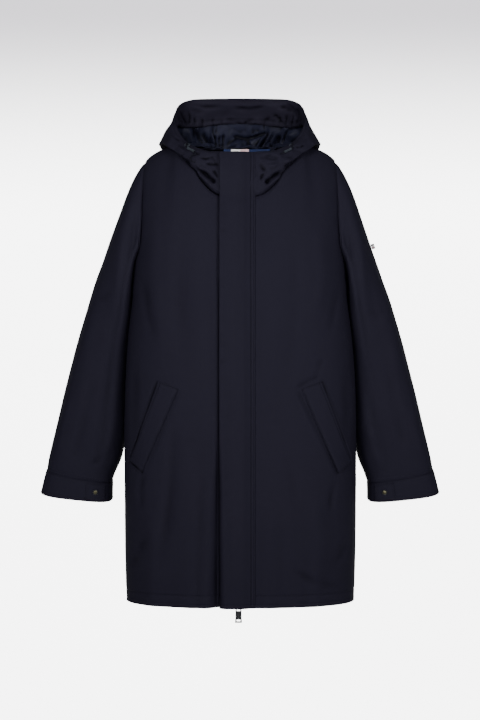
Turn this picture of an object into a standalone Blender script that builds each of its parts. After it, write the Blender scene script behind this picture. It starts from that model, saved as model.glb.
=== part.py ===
"""A padded mid-thigh parka, filled out with no wearer, its hood laid back.

Metres. +X is the wearer's left, the coat's front faces -Y, +Z is up. The origin lies between the
shoulders, at the height of the neck seam.
"""
import math

import bmesh
import bpy
import numpy as np
from mathutils import Vector

# cloth and seams
WALL = 0.003              # padded body and sleeves
HOOD_WALL = 0.002
THIN_WALL = 0.0015        # facing, tabs and welts
GAP = 0.0003              # between pieces that meet at a seam
SEAM_SHARE = 0.00017      # what each of two pieces gives way at their seam
LABEL_WALL = 0.001

# body
HEM_Z = -0.935
UNDERARM_Z = -0.311
BODY_CENTRE_Y = -0.010    # the body is widest here
BODY_SQUARENESS = 2.5
ARMHOLE_ANGLE = 62.0      # degrees round from the centre line to the armhole's edge
ARMHOLE_HALF_WIDTH = 0.219
BODY_TABLE = (
    # height, half_width, front, back
    (-0.935, 0.2375, 0.131, 0.143),
    (-0.857, 0.2405, 0.134, 0.142),
    (-0.626, 0.2430, 0.136, 0.139),
    (-0.521, 0.2415, 0.137, 0.140),
    (-0.437, 0.2380, 0.138, 0.142),
    (-0.311, 0.2247, 0.135, 0.145),
)
NECK_FRONT = (
    # x, y, z from the centre front to the shoulder
    (0.0000, -0.1270, -0.1060),
    (0.0455, -0.1200, -0.1020),
    (0.0760, -0.1100, -0.0760),
    (0.0940, -0.0950, -0.0480),
    (0.1170, -0.0650, -0.0210),
    (0.1310, -0.0350, -0.0010),
    (0.1350, -0.0120, 0.0070),
)
NECK_BACK = (
    # x, y, z from the centre back to the shoulder
    (0.0000, 0.0780, 0.0125),
    (0.0450, 0.0755, 0.0125),
    (0.0850, 0.0620, 0.0120),
    (0.1130, 0.0380, 0.0105),
    (0.1290, 0.0120, 0.0085),
    (0.1350, -0.0120, 0.0070),
)
SHOULDER = (
    # x, y, z from the neck to the sleeve
    (0.1350, -0.0120, 0.0070),
    (0.1550, -0.0100, 0.0045),
    (0.1710, -0.0080, -0.0010),
    (0.1860, -0.0060, -0.0095),
    (0.1985, -0.0050, -0.0210),
)
NECK_COLUMNS = 6
SHOULDER_COLUMNS = 3
LOWER_ROWS = 7
UPPER_ROWS = 9
UPPER_GATHER = 1.25       # the rows above the underarm lie closer together at first
ARMHOLE_CUT = 0.30        # share of the height above the underarm over which the armhole reaches its width

# front closure, on the viewer's right of the centre
ZIP_X = -0.003
ZIP_HALF_WIDTH = 0.006
PLACKET_FREE_X = -0.041
PLACKET_SEAM_X = 0.031
PLACKET_WALL = 0.0022
PLACKET_STAND_OFF = 0.0072
PLACKET_COLUMNS = 6

# sleeve: the outer line and the inner line as seen from the front, and its depth
SLEEVE_TABLE = (
    # along, outer_x, outer_z, inner_x, inner_z, centre_y, half_depth, squareness, tilt
    (0.00, 0.1985, -0.0210, 0.2247, -0.3110, -0.006, 0.072, 2.2, 0.0),
    (0.05, 0.2121, -0.0412, 0.2292, -0.3135, -0.005, 0.074, 2.2, 0.0),
    (0.12, 0.2289, -0.0737, 0.2312, -0.3230, -0.003, 0.076, 2.2, 0.0),
    (0.22, 0.2524, -0.1354, 0.2325, -0.3450, 0.002, 0.077, 2.2, 0.0),
    (0.33, 0.2780, -0.2053, 0.2358, -0.3800, 0.011, 0.075, 2.3, 1.0),
    (0.45, 0.3030, -0.2743, 0.2400, -0.4250, 0.021, 0.072, 2.4, 2.0),
    (0.62, 0.3406, -0.3893, 0.2442, -0.5000, 0.033, 0.066, 2.5, 4.0),
    (0.81, 0.3785, -0.5306, 0.2462, -0.5900, 0.040, 0.058, 2.6, 7.0),
    (0.90, 0.3950, -0.5990, 0.2560, -0.6420, 0.043, 0.051, 2.7, 9.0),
    (1.00, 0.4110, -0.6673, 0.2700, -0.6930, 0.045, 0.043, 2.9, 11.0),
    (1.07, 0.4230, -0.7150, 0.2712, -0.7310, 0.046, 0.041, 3.0, 12.0),
)
ARMHOLE_FADE = 0.30       # share of the sleeve over which the armhole's own shape fades
UNDERARM_FOLD = 0.12      # height over which the sleeve's edge turns from a fold to a flat seam
SLEEVE_ROWS = 13
ROW_GATHER = 1.35         # the first rows of the sleeve and of the lining lie closer together
CUFF_ROWS = 2
CUFF_HEIGHT = 0.045
CUFF_LIFT = 0.0006        # the cuff stands this far proud of the sleeve

# hood: each section leaves the neck seam outwards and up, in metres, and ends on the rim
HOOD_TABLE = (
    # round, fold_out, fold_up, low_out, low_up, belly_out, belly_up, high_out, high_up, crown_out, crown_up
    (0.00, 0.001, 0.016, 0.000, 0.032, -0.002, 0.048, -0.006, 0.062, -0.011, 0.075),
    (0.08, 0.002, 0.016, 0.001, 0.032, 0.000, 0.048, -0.003, 0.063, -0.008, 0.078),
    (0.17, 0.003, 0.013, 0.004, 0.026, 0.003, 0.038, 0.000, 0.049, -0.005, 0.059),
    (0.25, 0.006, 0.009, 0.010, 0.018, 0.009, 0.026, 0.006, 0.033, 0.001, 0.040),
    (0.33, 0.011, 0.007, 0.019, 0.013, 0.018, 0.019, 0.013, 0.025, 0.006, 0.031),
    (0.42, 0.015, 0.0115, 0.027, 0.0125, 0.0245, 0.018, 0.016, 0.0245, 0.007, 0.031),
    (0.50, 0.017, 0.0082, 0.033, 0.006, 0.0265, 0.017, 0.0180, 0.030, 0.0100, 0.042),
    (0.62, 0.024, 0.003, 0.045, -0.008, 0.050, 0.011, 0.040, 0.036, 0.026, 0.058),
    (0.71, 0.026, 0.002, 0.058, -0.042, 0.072, -0.010, 0.066, 0.028, 0.050, 0.068),
    (0.80, 0.027, 0.000, 0.067, -0.082, 0.092, -0.045, 0.092, 0.018, 0.072, 0.074),
    (1.00, 0.030, -0.004, 0.076, -0.132, 0.112, -0.088, 0.118, 0.000, 0.092, 0.076),
)
LINING_TABLE = (
    # round, start_out, start_up, near_out, near_up, deep_out, deep_up, belly_out, belly_up, high_out, high_up
    (0.00, -0.006, 0.006, -0.006, 0.018, -0.007, 0.030, -0.009, 0.043, -0.013, 0.056),
    (0.08, -0.006, 0.006, -0.006, 0.018, -0.006, 0.029, -0.008, 0.042, -0.011, 0.055),
    (0.17, -0.006, 0.006, -0.006, 0.015, -0.005, 0.024, -0.005, 0.033, -0.007, 0.042),
    (0.25, -0.006, 0.006, -0.004, 0.010, -0.001, 0.016, 0.001, 0.021, 0.000, 0.026),
    (0.33, -0.006, 0.006, -0.001, 0.009, 0.004, 0.012, 0.006, 0.016, 0.005, 0.020),
    (0.42, -0.006, 0.006, 0.000, 0.010, 0.006, 0.013, 0.009, 0.016, 0.007, 0.021),
    (0.50, -0.005, 0.006, 0.002, 0.011, 0.010, 0.014, 0.014, 0.018, 0.011, 0.027),
    (0.62, -0.003, 0.005, 0.012, 0.009, 0.028, 0.006, 0.036, 0.014, 0.031, 0.033),
    (0.71, -0.003, 0.005, 0.020, 0.009, 0.042, -0.018, 0.057, -0.004, 0.055, 0.026),
    (0.80, -0.002, 0.005, 0.026, 0.008, 0.055, -0.052, 0.078, -0.030, 0.082, 0.018),
    (1.00, -0.002, 0.005, 0.030, 0.004, 0.066, -0.096, 0.100, -0.068, 0.109, 0.002),
)
RIM_TABLE = (
    # round, x, y, z
    (0.00, 0.0000, -0.1080, -0.0165),
    (0.08, 0.0370, -0.1050, -0.0135),
    (0.17, 0.0660, -0.0980, -0.0105),
    (0.25, 0.0865, -0.0880, -0.0035),
    (0.33, 0.1060, -0.0700, 0.0085),
    (0.42, 0.1240, -0.0450, 0.0310),
    (0.50, 0.1375, -0.0100, 0.0620),
    (0.57, 0.1385, 0.0200, 0.0800),
    (0.66, 0.1345, 0.0600, 0.1040),
    (0.75, 0.1220, 0.0950, 0.1205),
    (0.84, 0.0960, 0.1160, 0.1300),
    (1.00, 0.0000, 0.1300, 0.1345),
)
HOOD_CENTRE_Y = -0.020    # the sections fan out from here
HOOD_ROWS = 10            # up to the facing's edge
FACING_ROWS = 3           # from there to the rim
HOOD_PANEL_COLUMN = 8     # the side panels meet the centre panel here
LINING_PANEL_COLUMN = 11  # the lining's centre panel is narrower
FACING_FRONT, FACING_BACK = 0.018, 0.062
LINING_ROWS = 11
LINING_EDGE_WALL = 0.0012 # where it tucks under the facing
LINING_LEAVES = 0.88      # share of the hood's wall where it leaves the facing's edge
LINING_TABLE_ENDS = 0.70  # share of the hood's wall where the table's points give way to that
LINING_CLEARANCE = 0.0035 # from the hood's wall
TAPE_DEPTH = 0.0022       # in front of the neck seam

# small pieces
TAPE_FROM_X, TAPE_TO_X = -0.036, 0.066
TAPE_TOP_Z, TAPE_HEIGHT = 0.0154, 0.0140
LABEL_WIDTH, LABEL_HEIGHT = 0.040, 0.019
WELT_CORNERS = dict(top_inner=(0.124, -0.496), top_outer=(0.168, -0.480),
                    end_outer=(0.231, -0.645), end_inner=(0.199, -0.667))
WELT_ROWS, WELT_COLUMNS = 6, 2
WELT_LIFT = 0.0021
EYELET_RADIUS, EYELET_TUBE = 0.0048, 0.0013
LOCK_RADIUS, LOCK_BORE, LOCK_LIP = 0.0025, 0.0018, 0.0008
LOCK_WAIST = 0.86                 # share of the radius between the lock's lips
CORD_RADIUS, CORD_STEP = 0.0014, 0.0026
CORD_HARDWARE = dict(
    # metres: an eyelet and the way it faces, the two ends of the lock, and the cord's route
    right=dict(
        eyelet=(-0.1081, -0.0812, 0.0032), outwards=(-0.038, -0.585, 0.810),
        lock=((-0.1071, -0.0937, -0.0047), (-0.0929, -0.1047, -0.0132)),
        cord=((-0.1081, -0.0804, 0.0021), (-0.1082, -0.0817, 0.0038), (-0.1083, -0.0834, 0.0062),
              (-0.1099, -0.0915, -0.0030), (-0.1071, -0.0937, -0.0047), (-0.1000, -0.0992, -0.0090),
              (-0.0929, -0.1047, -0.0132), (-0.0914, -0.1058, -0.0140), (-0.0887, -0.1079, -0.0182),
              (-0.0932, -0.1071, -0.0202), (-0.1006, -0.1055, -0.0245), (-0.0997, -0.1064, -0.0312),
              (-0.0929, -0.1094, -0.0359), (-0.0895, -0.1107, -0.0341)),
    ),
    left=dict(
        eyelet=(0.1065, -0.0827, 0.0018), outwards=(0.040, -0.607, 0.794),
        lock=((0.1043, -0.0957, -0.0064), (0.0898, -0.1063, -0.0149)),
        cord=((0.1064, -0.0819, 0.0007), (0.1065, -0.0832, 0.0024), (0.1066, -0.0850, 0.0048),
              (0.1073, -0.0935, -0.0047), (0.1043, -0.0957, -0.0064), (0.0971, -0.1010, -0.0106),
              (0.0898, -0.1063, -0.0149), (0.0883, -0.1073, -0.0157), (0.0854, -0.1092, -0.0194)),
    ),
)
SNAP_RADIUS, SNAP_HEIGHT = 0.0055, 0.0022
SNAP_TOP = 0.7                    # share of the radius at the snap's flat top
CUFF_COLUMNS = 24
TAB_COLUMNS = (7, 8, 9)           # the tab lies over these columns of the cuff
TAB_SHARES = (0.10, 0.50, 0.90)   # and these shares of its height
SNAP_COLUMN = 8
TAB_LIFT = CUFF_LIFT + GAP + 0.0004
SLEEVE_TAB_Z = -0.197
SLEEVE_TAB_SIZE = (0.010, 0.0010, 0.011)
SLEEVE_TAB_TURN = 0.06
SLEEVE_TAB_CLEAR = 0.0008         # between the tab and the sleeve
SLIDER_SIZE = (0.0100, 0.0030, 0.0110)
EAR_SIZE = (0.0012, 0.0032, 0.0030)
EAR_SINKS, EAR_RISE = 0.0004, 0.0002      # into the slider, and above the pull's axis
BARREL_LENGTH, BARREL_RADIUS, BARREL_BORE, PIN_RADIUS = 0.0060, 0.0015, 0.0010, 0.0007
PULL_TOP_WIDTH, PULL_END_WIDTH, PULL_LENGTH, PULL_THICKNESS = 0.0100, 0.0137, 0.0274, 0.0016
PULL_AXIS_DROP = 0.0008           # the pull's axis below the hem

COLOURS = dict(
    cloth=(0.016, 0.017, 0.026), lining=(0.018, 0.022, 0.045), tape=(0.004, 0.030, 0.160),
    label=(0.80, 0.72, 0.74), metal=(0.10, 0.11, 0.13), slate=(0.22, 0.30, 0.40),
    cord=(0.010, 0.010, 0.016),
)
ROUGHNESS = dict(cloth=0.75, lining=0.5, tape=0.6, label=0.8, metal=0.35, slate=0.35, cord=0.8)


# ---------------------------------------------------------------- scene and materials

def clear_scene():
    for item in list(bpy.data.objects):
        bpy.data.objects.remove(item, do_unlink=True)


def make_collection(name):
    collection = bpy.data.collections.new(name)
    bpy.context.scene.collection.children.link(collection)
    return collection


def make_material(node_name, finish):
    material = bpy.data.materials.new(f"{node_name}_{finish}")
    material.use_nodes = True
    shader = material.node_tree.nodes["Principled BSDF"]
    shader.inputs["Base Color"].default_value = (*COLOURS[finish], 1.0)
    shader.inputs["Roughness"].default_value = ROUGHNESS[finish]
    shader.inputs["Metallic"].default_value = 1.0 if finish == "metal" else 0.0
    return material


def add_object(name, mesh, finish):
    item = bpy.data.objects.new(name, mesh)
    mesh.materials.append(make_material(name, finish))
    parts.objects.link(item)
    return item


def add_bmesh(name, built, finish, smooth=True):
    bmesh.ops.recalc_face_normals(built, faces=built.faces)
    mesh = bpy.data.meshes.new(name)
    built.to_mesh(mesh)
    built.free()
    if smooth:
        mesh.shade_smooth()
        mesh.set_sharp_from_angle(angle=math.radians(40.0))
    return add_object(name, mesh, finish)


# ---------------------------------------------------------------- curves and grids

def unit(vector):
    return vector / max(np.linalg.norm(vector), 1e-12)


def smooth_step(value):
    value = min(max(value, 0.0), 1.0)
    return value * value * (3.0 - 2.0 * value)


def through(stations, rows, at):
    """A smooth curve through the rows, read at one place along their stations."""
    stations = np.asarray(stations, float)
    rows = np.asarray(rows, float)
    last = len(stations) - 1
    k = int(np.clip(np.searchsorted(stations, at, side="right") - 1, 0, last - 1))
    span = stations[k + 1] - stations[k]
    t = (at - stations[k]) / span

    def slope(i):
        before, after = max(i - 1, 0), min(i + 1, last)
        return (rows[after] - rows[before]) / (stations[after] - stations[before])

    a, b = rows[k], rows[k + 1]
    m, n = slope(k) * span, slope(k + 1) * span
    return ((2 * t**3 - 3 * t**2 + 1) * a + (t**3 - 2 * t**2 + t) * m
            + (3 * t**2 - 2 * t**3) * b + (t**3 - t**2) * n)


def from_table(table, at):
    """A row of a table whose first column is the place along it."""
    return through([row[0] for row in table], [row[1:] for row in table], at)


def along_points(points, share):
    """The point at a share of the length of a smooth curve through the points."""
    points = np.asarray(points, float)
    lengths = np.concatenate([[0.0], np.cumsum(np.linalg.norm(np.diff(points, axis=0), axis=1))])
    return through(lengths, points, share * lengths[-1])


def rounded(angle, squareness):
    """Sine and cosine on a rounded square."""
    sine, cosine = math.sin(angle), math.cos(angle)
    reach = (abs(sine) ** squareness + abs(cosine) ** squareness) ** (-1.0 / squareness)
    return sine * reach, cosine * reach


def grid_normals(points, closed=False):
    """One normal for each point of a grid: columns crossed with rows."""
    if closed:
        across = np.roll(points, -1, axis=1) - np.roll(points, 1, axis=1)
    else:
        across = np.gradient(points, axis=1)
    down = np.gradient(points, axis=0)
    normals = np.cross(across, down)
    normals /= np.maximum(np.linalg.norm(normals, axis=2, keepdims=True), 1e-12)
    return normals


def flatten_first_column(normals):
    """No sideways lean at the centre line, so the pieces that meet there stay parallel."""
    normals[:, 0, 0] = 0.0
    normals[:, 0] /= np.linalg.norm(normals[:, 0], axis=1, keepdims=True)


def faces_of_grid(rows, columns, closed, middle):
    """Triangles of a grid. Past the middle column their diagonals turn, so both halves match."""
    faces = []
    for r in range(rows - 1):
        for c in range(columns if closed else columns - 1):
            after = (c + 1) % columns
            a, b = r * columns + c, r * columns + after
            d, e = a + columns, b + columns
            faces += [(a, b, d), (b, e, d)] if c >= middle else [(a, b, e), (a, e, d)]
    return faces


def shell(name, outer, inner, finish, closed=False, middle=None):
    """A closed wall between two grids of points."""
    rows, columns = outer.shape[:2]
    middle = columns if middle is None else middle
    built = bmesh.new()
    front = [built.verts.new(p) for p in outer.reshape(-1, 3)]
    back = [built.verts.new(p) for p in inner.reshape(-1, 3)]
    for face in faces_of_grid(rows, columns, closed, middle):
        built.faces.new([front[i] for i in face])
        built.faces.new([back[i] for i in reversed(face)])
    edges = [[r * columns + c for c in range(columns)] + ([r * columns] if closed else [])
             for r in (0, rows - 1)]
    if not closed:
        edges += [[r * columns + c for r in range(rows)] for c in (0, columns - 1)]
    for edge in edges:
        for i, j in zip(edge, edge[1:]):
            built.faces.new((front[i], front[j], back[j], back[i]))
    return add_bmesh(name, built, finish)


def mirrored(points, side):
    return points * np.array([side, 1.0, 1.0])


def side_name(base, side):
    return f"{base}_left" if side > 0 else f"{base}_right"


# ---------------------------------------------------------------- body surface, wearer's left half

def body_ring(height, angle, facing):
    half_width, front, back = from_table(BODY_TABLE, height)
    across, along = rounded(angle, BODY_SQUARENESS)
    depth = -front if facing == "front" else back
    return np.array([half_width * across, BODY_CENTRE_Y + depth * along, height])


def top_edge(facing, share):
    """The neck seam, then the shoulder seam, from the centre line to the sleeve."""
    neck = NECK_FRONT if facing == "front" else NECK_BACK
    neck_share = NECK_COLUMNS / (NECK_COLUMNS + SHOULDER_COLUMNS)
    if share <= neck_share:
        return along_points(neck, share / neck_share)
    return along_points(SHOULDER, (share - neck_share) / (1.0 - neck_share))


def body_point(facing, down, share):
    """down: 0 at the hem, 1 at the underarm, 2 at the top. share: 0 at the centre, 1 at the side."""
    if down <= 1.0:
        height = HEM_Z + (UNDERARM_Z - HEM_Z) * down
        return body_ring(height, share * math.pi / 2.0, facing)
    rise = down - 1.0
    top = top_edge(facing, share)
    start = body_ring(UNDERARM_Z, share * math.pi / 2.0, facing)
    cut = smooth_step(rise / ARMHOLE_CUT)
    end_angle = math.radians(90.0 + (ARMHOLE_ANGLE - 90.0) * cut)
    across, along = rounded(share * end_angle, BODY_SQUARENESS)
    half_width, front, back = from_table(BODY_TABLE, UNDERARM_Z)
    half_width += (ARMHOLE_HALF_WIDTH - half_width) * cut
    depth = -front if facing == "front" else back
    section = np.array([half_width * across, BODY_CENTRE_Y + depth * along, start[2]])
    centre_roll, shoulder_roll = (1.5, 2.2) if facing == "front" else (2.0, 2.2)
    roll = centre_roll + (shoulder_roll - centre_roll) * smooth_step(share / 0.7)
    climb, lean = rounded(rise * math.pi / 2.0, roll)
    x = section[0] + (top[0] - section[0]) * climb**4
    y = top[1] + (section[1] - top[1]) * lean
    z = UNDERARM_Z + (top[2] - UNDERARM_Z) * climb
    return np.array([x, y, z])


def body_rows():
    lower = [k / LOWER_ROWS for k in range(LOWER_ROWS)]
    upper = [1.0 + (k / UPPER_ROWS) ** UPPER_GATHER for k in range(UPPER_ROWS + 1)]
    return lower + upper


def body_columns():
    count = NECK_COLUMNS + SHOULDER_COLUMNS
    return [k / count for k in range(count + 1)]


def share_at_x(surface, x):
    """Where a row of the surface reaches x, near the centre line."""
    low, high = 0.0, 0.6
    for _ in range(30):
        middle = 0.5 * (low + high)
        if surface(middle)[0] < x:
            low = middle
        else:
            high = middle
    return 0.5 * (low + high)


def body_half(facing, start_x):
    """Points and normals of one half of the front or back, from start_x to the side."""
    rows = []
    for down in body_rows():
        first = share_at_x(lambda s: body_point(facing, down, s), start_x)
        rows.append([body_point(facing, down, first + (1.0 - first) * s) for s in body_columns()])
    points = np.array(rows)
    normals = grid_normals(points)
    if facing == "back":
        normals = -normals
    flatten_first_column(normals)
    return points, normals


def front_start(side):
    return ZIP_HALF_WIDTH + GAP + side * ZIP_X


def share_edges(front, back):
    """The same normals where the front and back halves meet."""
    (_, front_normals), (_, back_normals) = front, back
    for r in range(LOWER_ROWS + 1):
        both = unit(front_normals[r, -1] + back_normals[r, -1])
        front_normals[r, -1] = back_normals[r, -1] = both
    for c in range(NECK_COLUMNS, NECK_COLUMNS + SHOULDER_COLUMNS + 1):
        both = unit(front_normals[-1, c] + back_normals[-1, c])
        front_normals[-1, c] = back_normals[-1, c] = both


def draw_in(points, place, neighbour, distance):
    points[place] += unit(points[neighbour] - points[place]) * distance


def open_seams(points):
    """Half a seam's gap at the side seam and at the shoulder seam."""
    for r in range(LOWER_ROWS + 1):
        draw_in(points, (r, -1), (r, -2), SEAM_SHARE)
    for c in range(NECK_COLUMNS, NECK_COLUMNS + SHOULDER_COLUMNS + 1):
        draw_in(points, (-1, c), (-2, c), SEAM_SHARE)


def make_body(halves):
    """Two fronts and two backs, which meet at the side, shoulder and centre back seams."""
    for (side, facing), (points, normals) in halves.items():
        outer, inner = points.copy(), points - WALL * normals
        open_seams(outer)
        open_seams(inner)
        shell(side_name(facing, side), mirrored(outer, side), mirrored(inner, side), "cloth")


# ---------------------------------------------------------------- sleeves

def armhole_loop(front, back):
    """Points and body normals round the armhole: top, front, underarm, back."""
    order = list(range(len(body_rows()) - 1, LOWER_ROWS - 1, -1))
    points = [front[0][r, -1] for r in order] + [back[0][r, -1] for r in reversed(order[1:-1])]
    normals = [front[1][r, -1] for r in order] + [back[1][r, -1] for r in reversed(order[1:-1])]
    return np.array(points), np.array(normals)


def sleeve_ring(along, turn):
    """turn: 0 on the outer line, 0.25 at the front, 0.5 on the inner line, 0.75 at the back."""
    sizes = from_table(SLEEVE_TABLE, along)
    outer_x, outer_z, inner_x, inner_z, centre_y, depth, squareness, tilt = sizes
    outer, inner = np.array([outer_x, 0.0, outer_z]), np.array([inner_x, 0.0, inner_z])
    centre = 0.5 * (outer + inner) + np.array([0.0, centre_y, 0.0])
    width = 0.5 * np.linalg.norm(outer - inner)
    across = unit(outer - inner)
    backwards = np.array([0.0, math.cos(math.radians(tilt)), math.sin(math.radians(tilt))])
    angle = turn * 2.0 * math.pi
    sine, cosine = rounded(angle, squareness)
    return centre + across * width * cosine - backwards * depth * sine


def sleeve_surface(loop, along, turn_index):
    count = len(loop)
    turn = turn_index / count
    start = loop[turn_index % count] - sleeve_ring(0.0, turn)
    fade = 1.0 - smooth_step(along / ARMHOLE_FADE)
    return sleeve_ring(along, turn) + start * fade


def sleeve_grid(halves, side):
    body_points, body_normals = armhole_loop(halves[side, "front"], halves[side, "back"])
    tangents = np.roll(body_points, -1, axis=0) - np.roll(body_points, 1, axis=0)
    across_seam = np.cross(body_normals, tangents)
    across_seam /= np.linalg.norm(across_seam, axis=1, keepdims=True)
    loop = body_points + GAP * 1.3 * across_seam
    steps = [(k / SLEEVE_ROWS) ** ROW_GATHER for k in range(SLEEVE_ROWS + 1)]
    points = np.array([[sleeve_surface(loop, s, k) for k in range(len(loop))] for s in steps])
    return points, body_normals


def make_sleeves(halves):
    for side in (-1, 1):
        points, body_normals = sleeve_grid(halves, side)
        normals = grid_normals(points, closed=True)
        for k, normal in enumerate(body_normals):      # at the underarm the sleeve folds away from the body
            share = smooth_step((points[0, k, 2] - UNDERARM_Z) / UNDERARM_FOLD)
            normals[0, k] = unit(normals[0, k] * (1.0 - share) + normal * share)
        shell(side_name("sleeve", side), mirrored(points, side),
              mirrored(points - WALL * normals, side), "cloth", closed=True)
        make_cuff(side)


def cuff_point(share, turn, lift):
    """A point on the cuff, share 0 at its seam and 1 at its end, moved out by lift."""
    start, end = 1.0, SLEEVE_TABLE[-1][0]
    along = start + (end - start) * share
    point = sleeve_ring(along, turn)
    step = 1e-3
    round_ = sleeve_ring(along, turn + step) - sleeve_ring(along, turn - step)
    down = sleeve_ring(along + step, turn) - sleeve_ring(along - step, turn)
    normal = unit(np.cross(round_, down))
    return point + normal * lift, normal


def cuff_patch(name, side, shares, turns, lift, wall, finish, closed=False):
    grids = [np.array([[cuff_point(s, t, height)[0] for t in turns] for s in shares])
             for height in (lift + wall, lift)]
    return shell(name, *[mirrored(g, side) for g in grids], finish, closed=closed)


def make_cuff(side):
    seam_share = 2.0 * GAP / CUFF_HEIGHT
    shares = [seam_share + (1.0 - seam_share) * k / CUFF_ROWS for k in range(CUFF_ROWS + 1)]
    turns = [k / CUFF_COLUMNS for k in range(CUFF_COLUMNS)]
    cuff_patch(side_name("cuff", side), side, shares, turns, CUFF_LIFT - WALL, WALL, "cloth", closed=True)
    tab_turns = [c / CUFF_COLUMNS for c in TAB_COLUMNS]
    cuff_patch(side_name("cuff_tab", side), side, TAB_SHARES, tab_turns, TAB_LIFT, THIN_WALL, "cloth")
    point, normal = cuff_point(TAB_SHARES[1], SNAP_COLUMN / CUFF_COLUMNS, TAB_LIFT + THIN_WALL + GAP)
    make_disc(side_name("cuff_snap", side), mirrored(point, side), mirrored(normal, side),
              SNAP_RADIUS, SNAP_HEIGHT, "metal")


# ---------------------------------------------------------------- hood

def neck_loop(halves, side):
    """The neck seam's points from the centre front to the centre back."""
    front, back = halves[side, "front"][0], halves[side, "back"][0]
    return np.array([front[-1, c] for c in range(NECK_COLUMNS + 1)]
                    + [back[-1, c] for c in range(NECK_COLUMNS - 1, -1, -1)])


def fanned(seam, row):
    """Points that leave the seam outwards and up by each pair of distances in a table's row."""
    out = unit(seam[:2] - np.array([0.0, HOOD_CENTRE_Y]))
    return [seam + np.array([out[0] * row[k], out[1] * row[k], row[k + 1]]) for k in range(0, len(row), 2)]


def hood_section(seam, round_, start_x):
    rim = from_table(RIM_TABLE, round_)
    rim[0] = max(rim[0], start_x)
    return [seam, *fanned(seam, from_table(HOOD_TABLE, round_)), rim]


def length_of(points):
    return float(np.sum(np.linalg.norm(np.diff(np.asarray(points), axis=0), axis=1)))


def facing_width(round_):
    return FACING_FRONT + (FACING_BACK - FACING_FRONT) * smooth_step((round_ - 0.5) / 0.35)


def hood_half(halves, side):
    """Points and normals of one half of the hood, from the seam to the facing's edge and on to the rim."""
    seam = neck_loop(halves, side) + np.array([0.0, 0.0, 1.6 * GAP])
    start_x = front_start(side)
    last = len(seam) - 1
    columns = []
    for c, point in enumerate(seam):
        section = hood_section(point, c / last, start_x)
        edge = 1.0 - facing_width(c / last) / length_of(section)
        shares = [edge * r / HOOD_ROWS for r in range(HOOD_ROWS)]
        shares += [edge + (1.0 - edge) * r / FACING_ROWS for r in range(FACING_ROWS + 1)]
        columns.append([along_points(section, share) for share in shares])
    points = np.array(columns).transpose(1, 0, 2).copy()
    points[:, 0, 0] = start_x
    points[:, -1, 0] = 0.0
    normals = grid_normals(points)
    flatten_first_column(normals)
    normals[:, -1, 0] = 0.0
    normals /= np.linalg.norm(normals, axis=2, keepdims=True)
    return points, normals


def joined(right, left):
    """Two half grids, each from the centre front to the centre back, as one."""
    return np.concatenate([mirrored(right, -1), left[:, -2::-1]], axis=1)


def make_panels(name, walls, split, finish):
    """Two side panels and a centre panel, cut from the walls' right and left halves."""
    for side in (-1, 1):
        panels = []
        for grid in walls[side]:
            panel = grid[:, :split + 1].copy()
            for r in range(len(panel)):
                draw_in(panel, (r, -1), (r, -2), GAP)
            panels.append(mirrored(panel, side))
        shell(side_name(f"{name}_side", side), *panels, finish)
    centre = [joined(walls[-1][k][:, split:], walls[1][k][:, split:]) for k in (0, 1)]
    shell(f"{name}_centre", *centre, finish, middle=centre[0].shape[1] // 2)


def make_hood(hood):
    walls = {side: (hood[side][0], hood[side][0] - HOOD_WALL * hood[side][1]) for side in (-1, 1)}
    make_panels("hood", walls, HOOD_PANEL_COLUMN, "cloth")


def make_facing(hood):
    """The facing starts flat on the rim and comes away from it where it laps over the lining."""
    lifts = np.linspace(HOOD_WALL + LINING_EDGE_WALL + 4.0 * GAP, HOOD_WALL + 2.0 * GAP, FACING_ROWS + 1)
    lifts = lifts[:, None, None]
    grids = []
    for depth in (0.0, THIN_WALL):
        halves = [hood[side][0][HOOD_ROWS:] - hood[side][1][HOOD_ROWS:] * (lifts + depth)
                  for side in (-1, 1)]
        grids.append(joined(*halves))
    shell("hood_facing", *grids, "cloth", middle=grids[0].shape[1] // 2)


def nearest(section, point):
    return int(np.argmin(np.linalg.norm(section - point, axis=1)))


def clear_of_wall(points, section, inwards, clearance):
    """Moves points that come too near a wall's section away from it."""
    points = np.array(points)
    for _ in range(3):
        for k, point in enumerate(points):
            near = nearest(section, point)
            height = np.dot(point - section[near], inwards[near])
            points[k] = point + inwards[near] * max(clearance - height, 0.0)
    return points


def lining_half(halves, hood, side):
    seam = neck_loop(halves, side)
    last = len(seam) - 1
    points, normals = hood[side]
    shares = np.linspace(0.0, 1.0, 4 * HOOD_ROWS + 1)
    columns = []
    for c in range(last + 1):
        edge, tuck = (points[r, c] - normals[r, c] * (HOOD_WALL + GAP)
                      for r in (HOOD_ROWS, HOOD_ROWS + 1))
        wall = np.array([along_points(points[:HOOD_ROWS + 1, c], share) for share in shares])
        wall_normals = normals[:HOOD_ROWS + 1, c]
        inwards = -np.array([unit(through(range(HOOD_ROWS + 1), wall_normals, share * HOOD_ROWS))
                             for share in shares])
        table = fanned(seam[c], from_table(LINING_TABLE, c / last))
        section = [point for point in table if nearest(wall, point) < LINING_TABLE_ENDS * len(wall)]
        leave = int(LINING_LEAVES * len(wall))
        section += [wall[leave] + inwards[leave] * (HOOD_WALL + LINING_CLEARANCE), edge]
        route = [along_points(section, (r / LINING_ROWS) ** ROW_GATHER) for r in range(LINING_ROWS)]
        route = clear_of_wall(route, wall, inwards, HOOD_WALL + LINING_CLEARANCE)
        columns.append([*route, edge, tuck])
    grid = np.array(columns).transpose(1, 0, 2).copy()
    grid[:, 0, 0] = front_start(side)
    grid[:, -1, 0] = 0.0
    outwards = grid_normals(grid)
    outwards[-2:] = normals[HOOD_ROWS:HOOD_ROWS + 2] * LINING_EDGE_WALL / HOOD_WALL
    return grid, grid - HOOD_WALL * outwards


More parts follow.
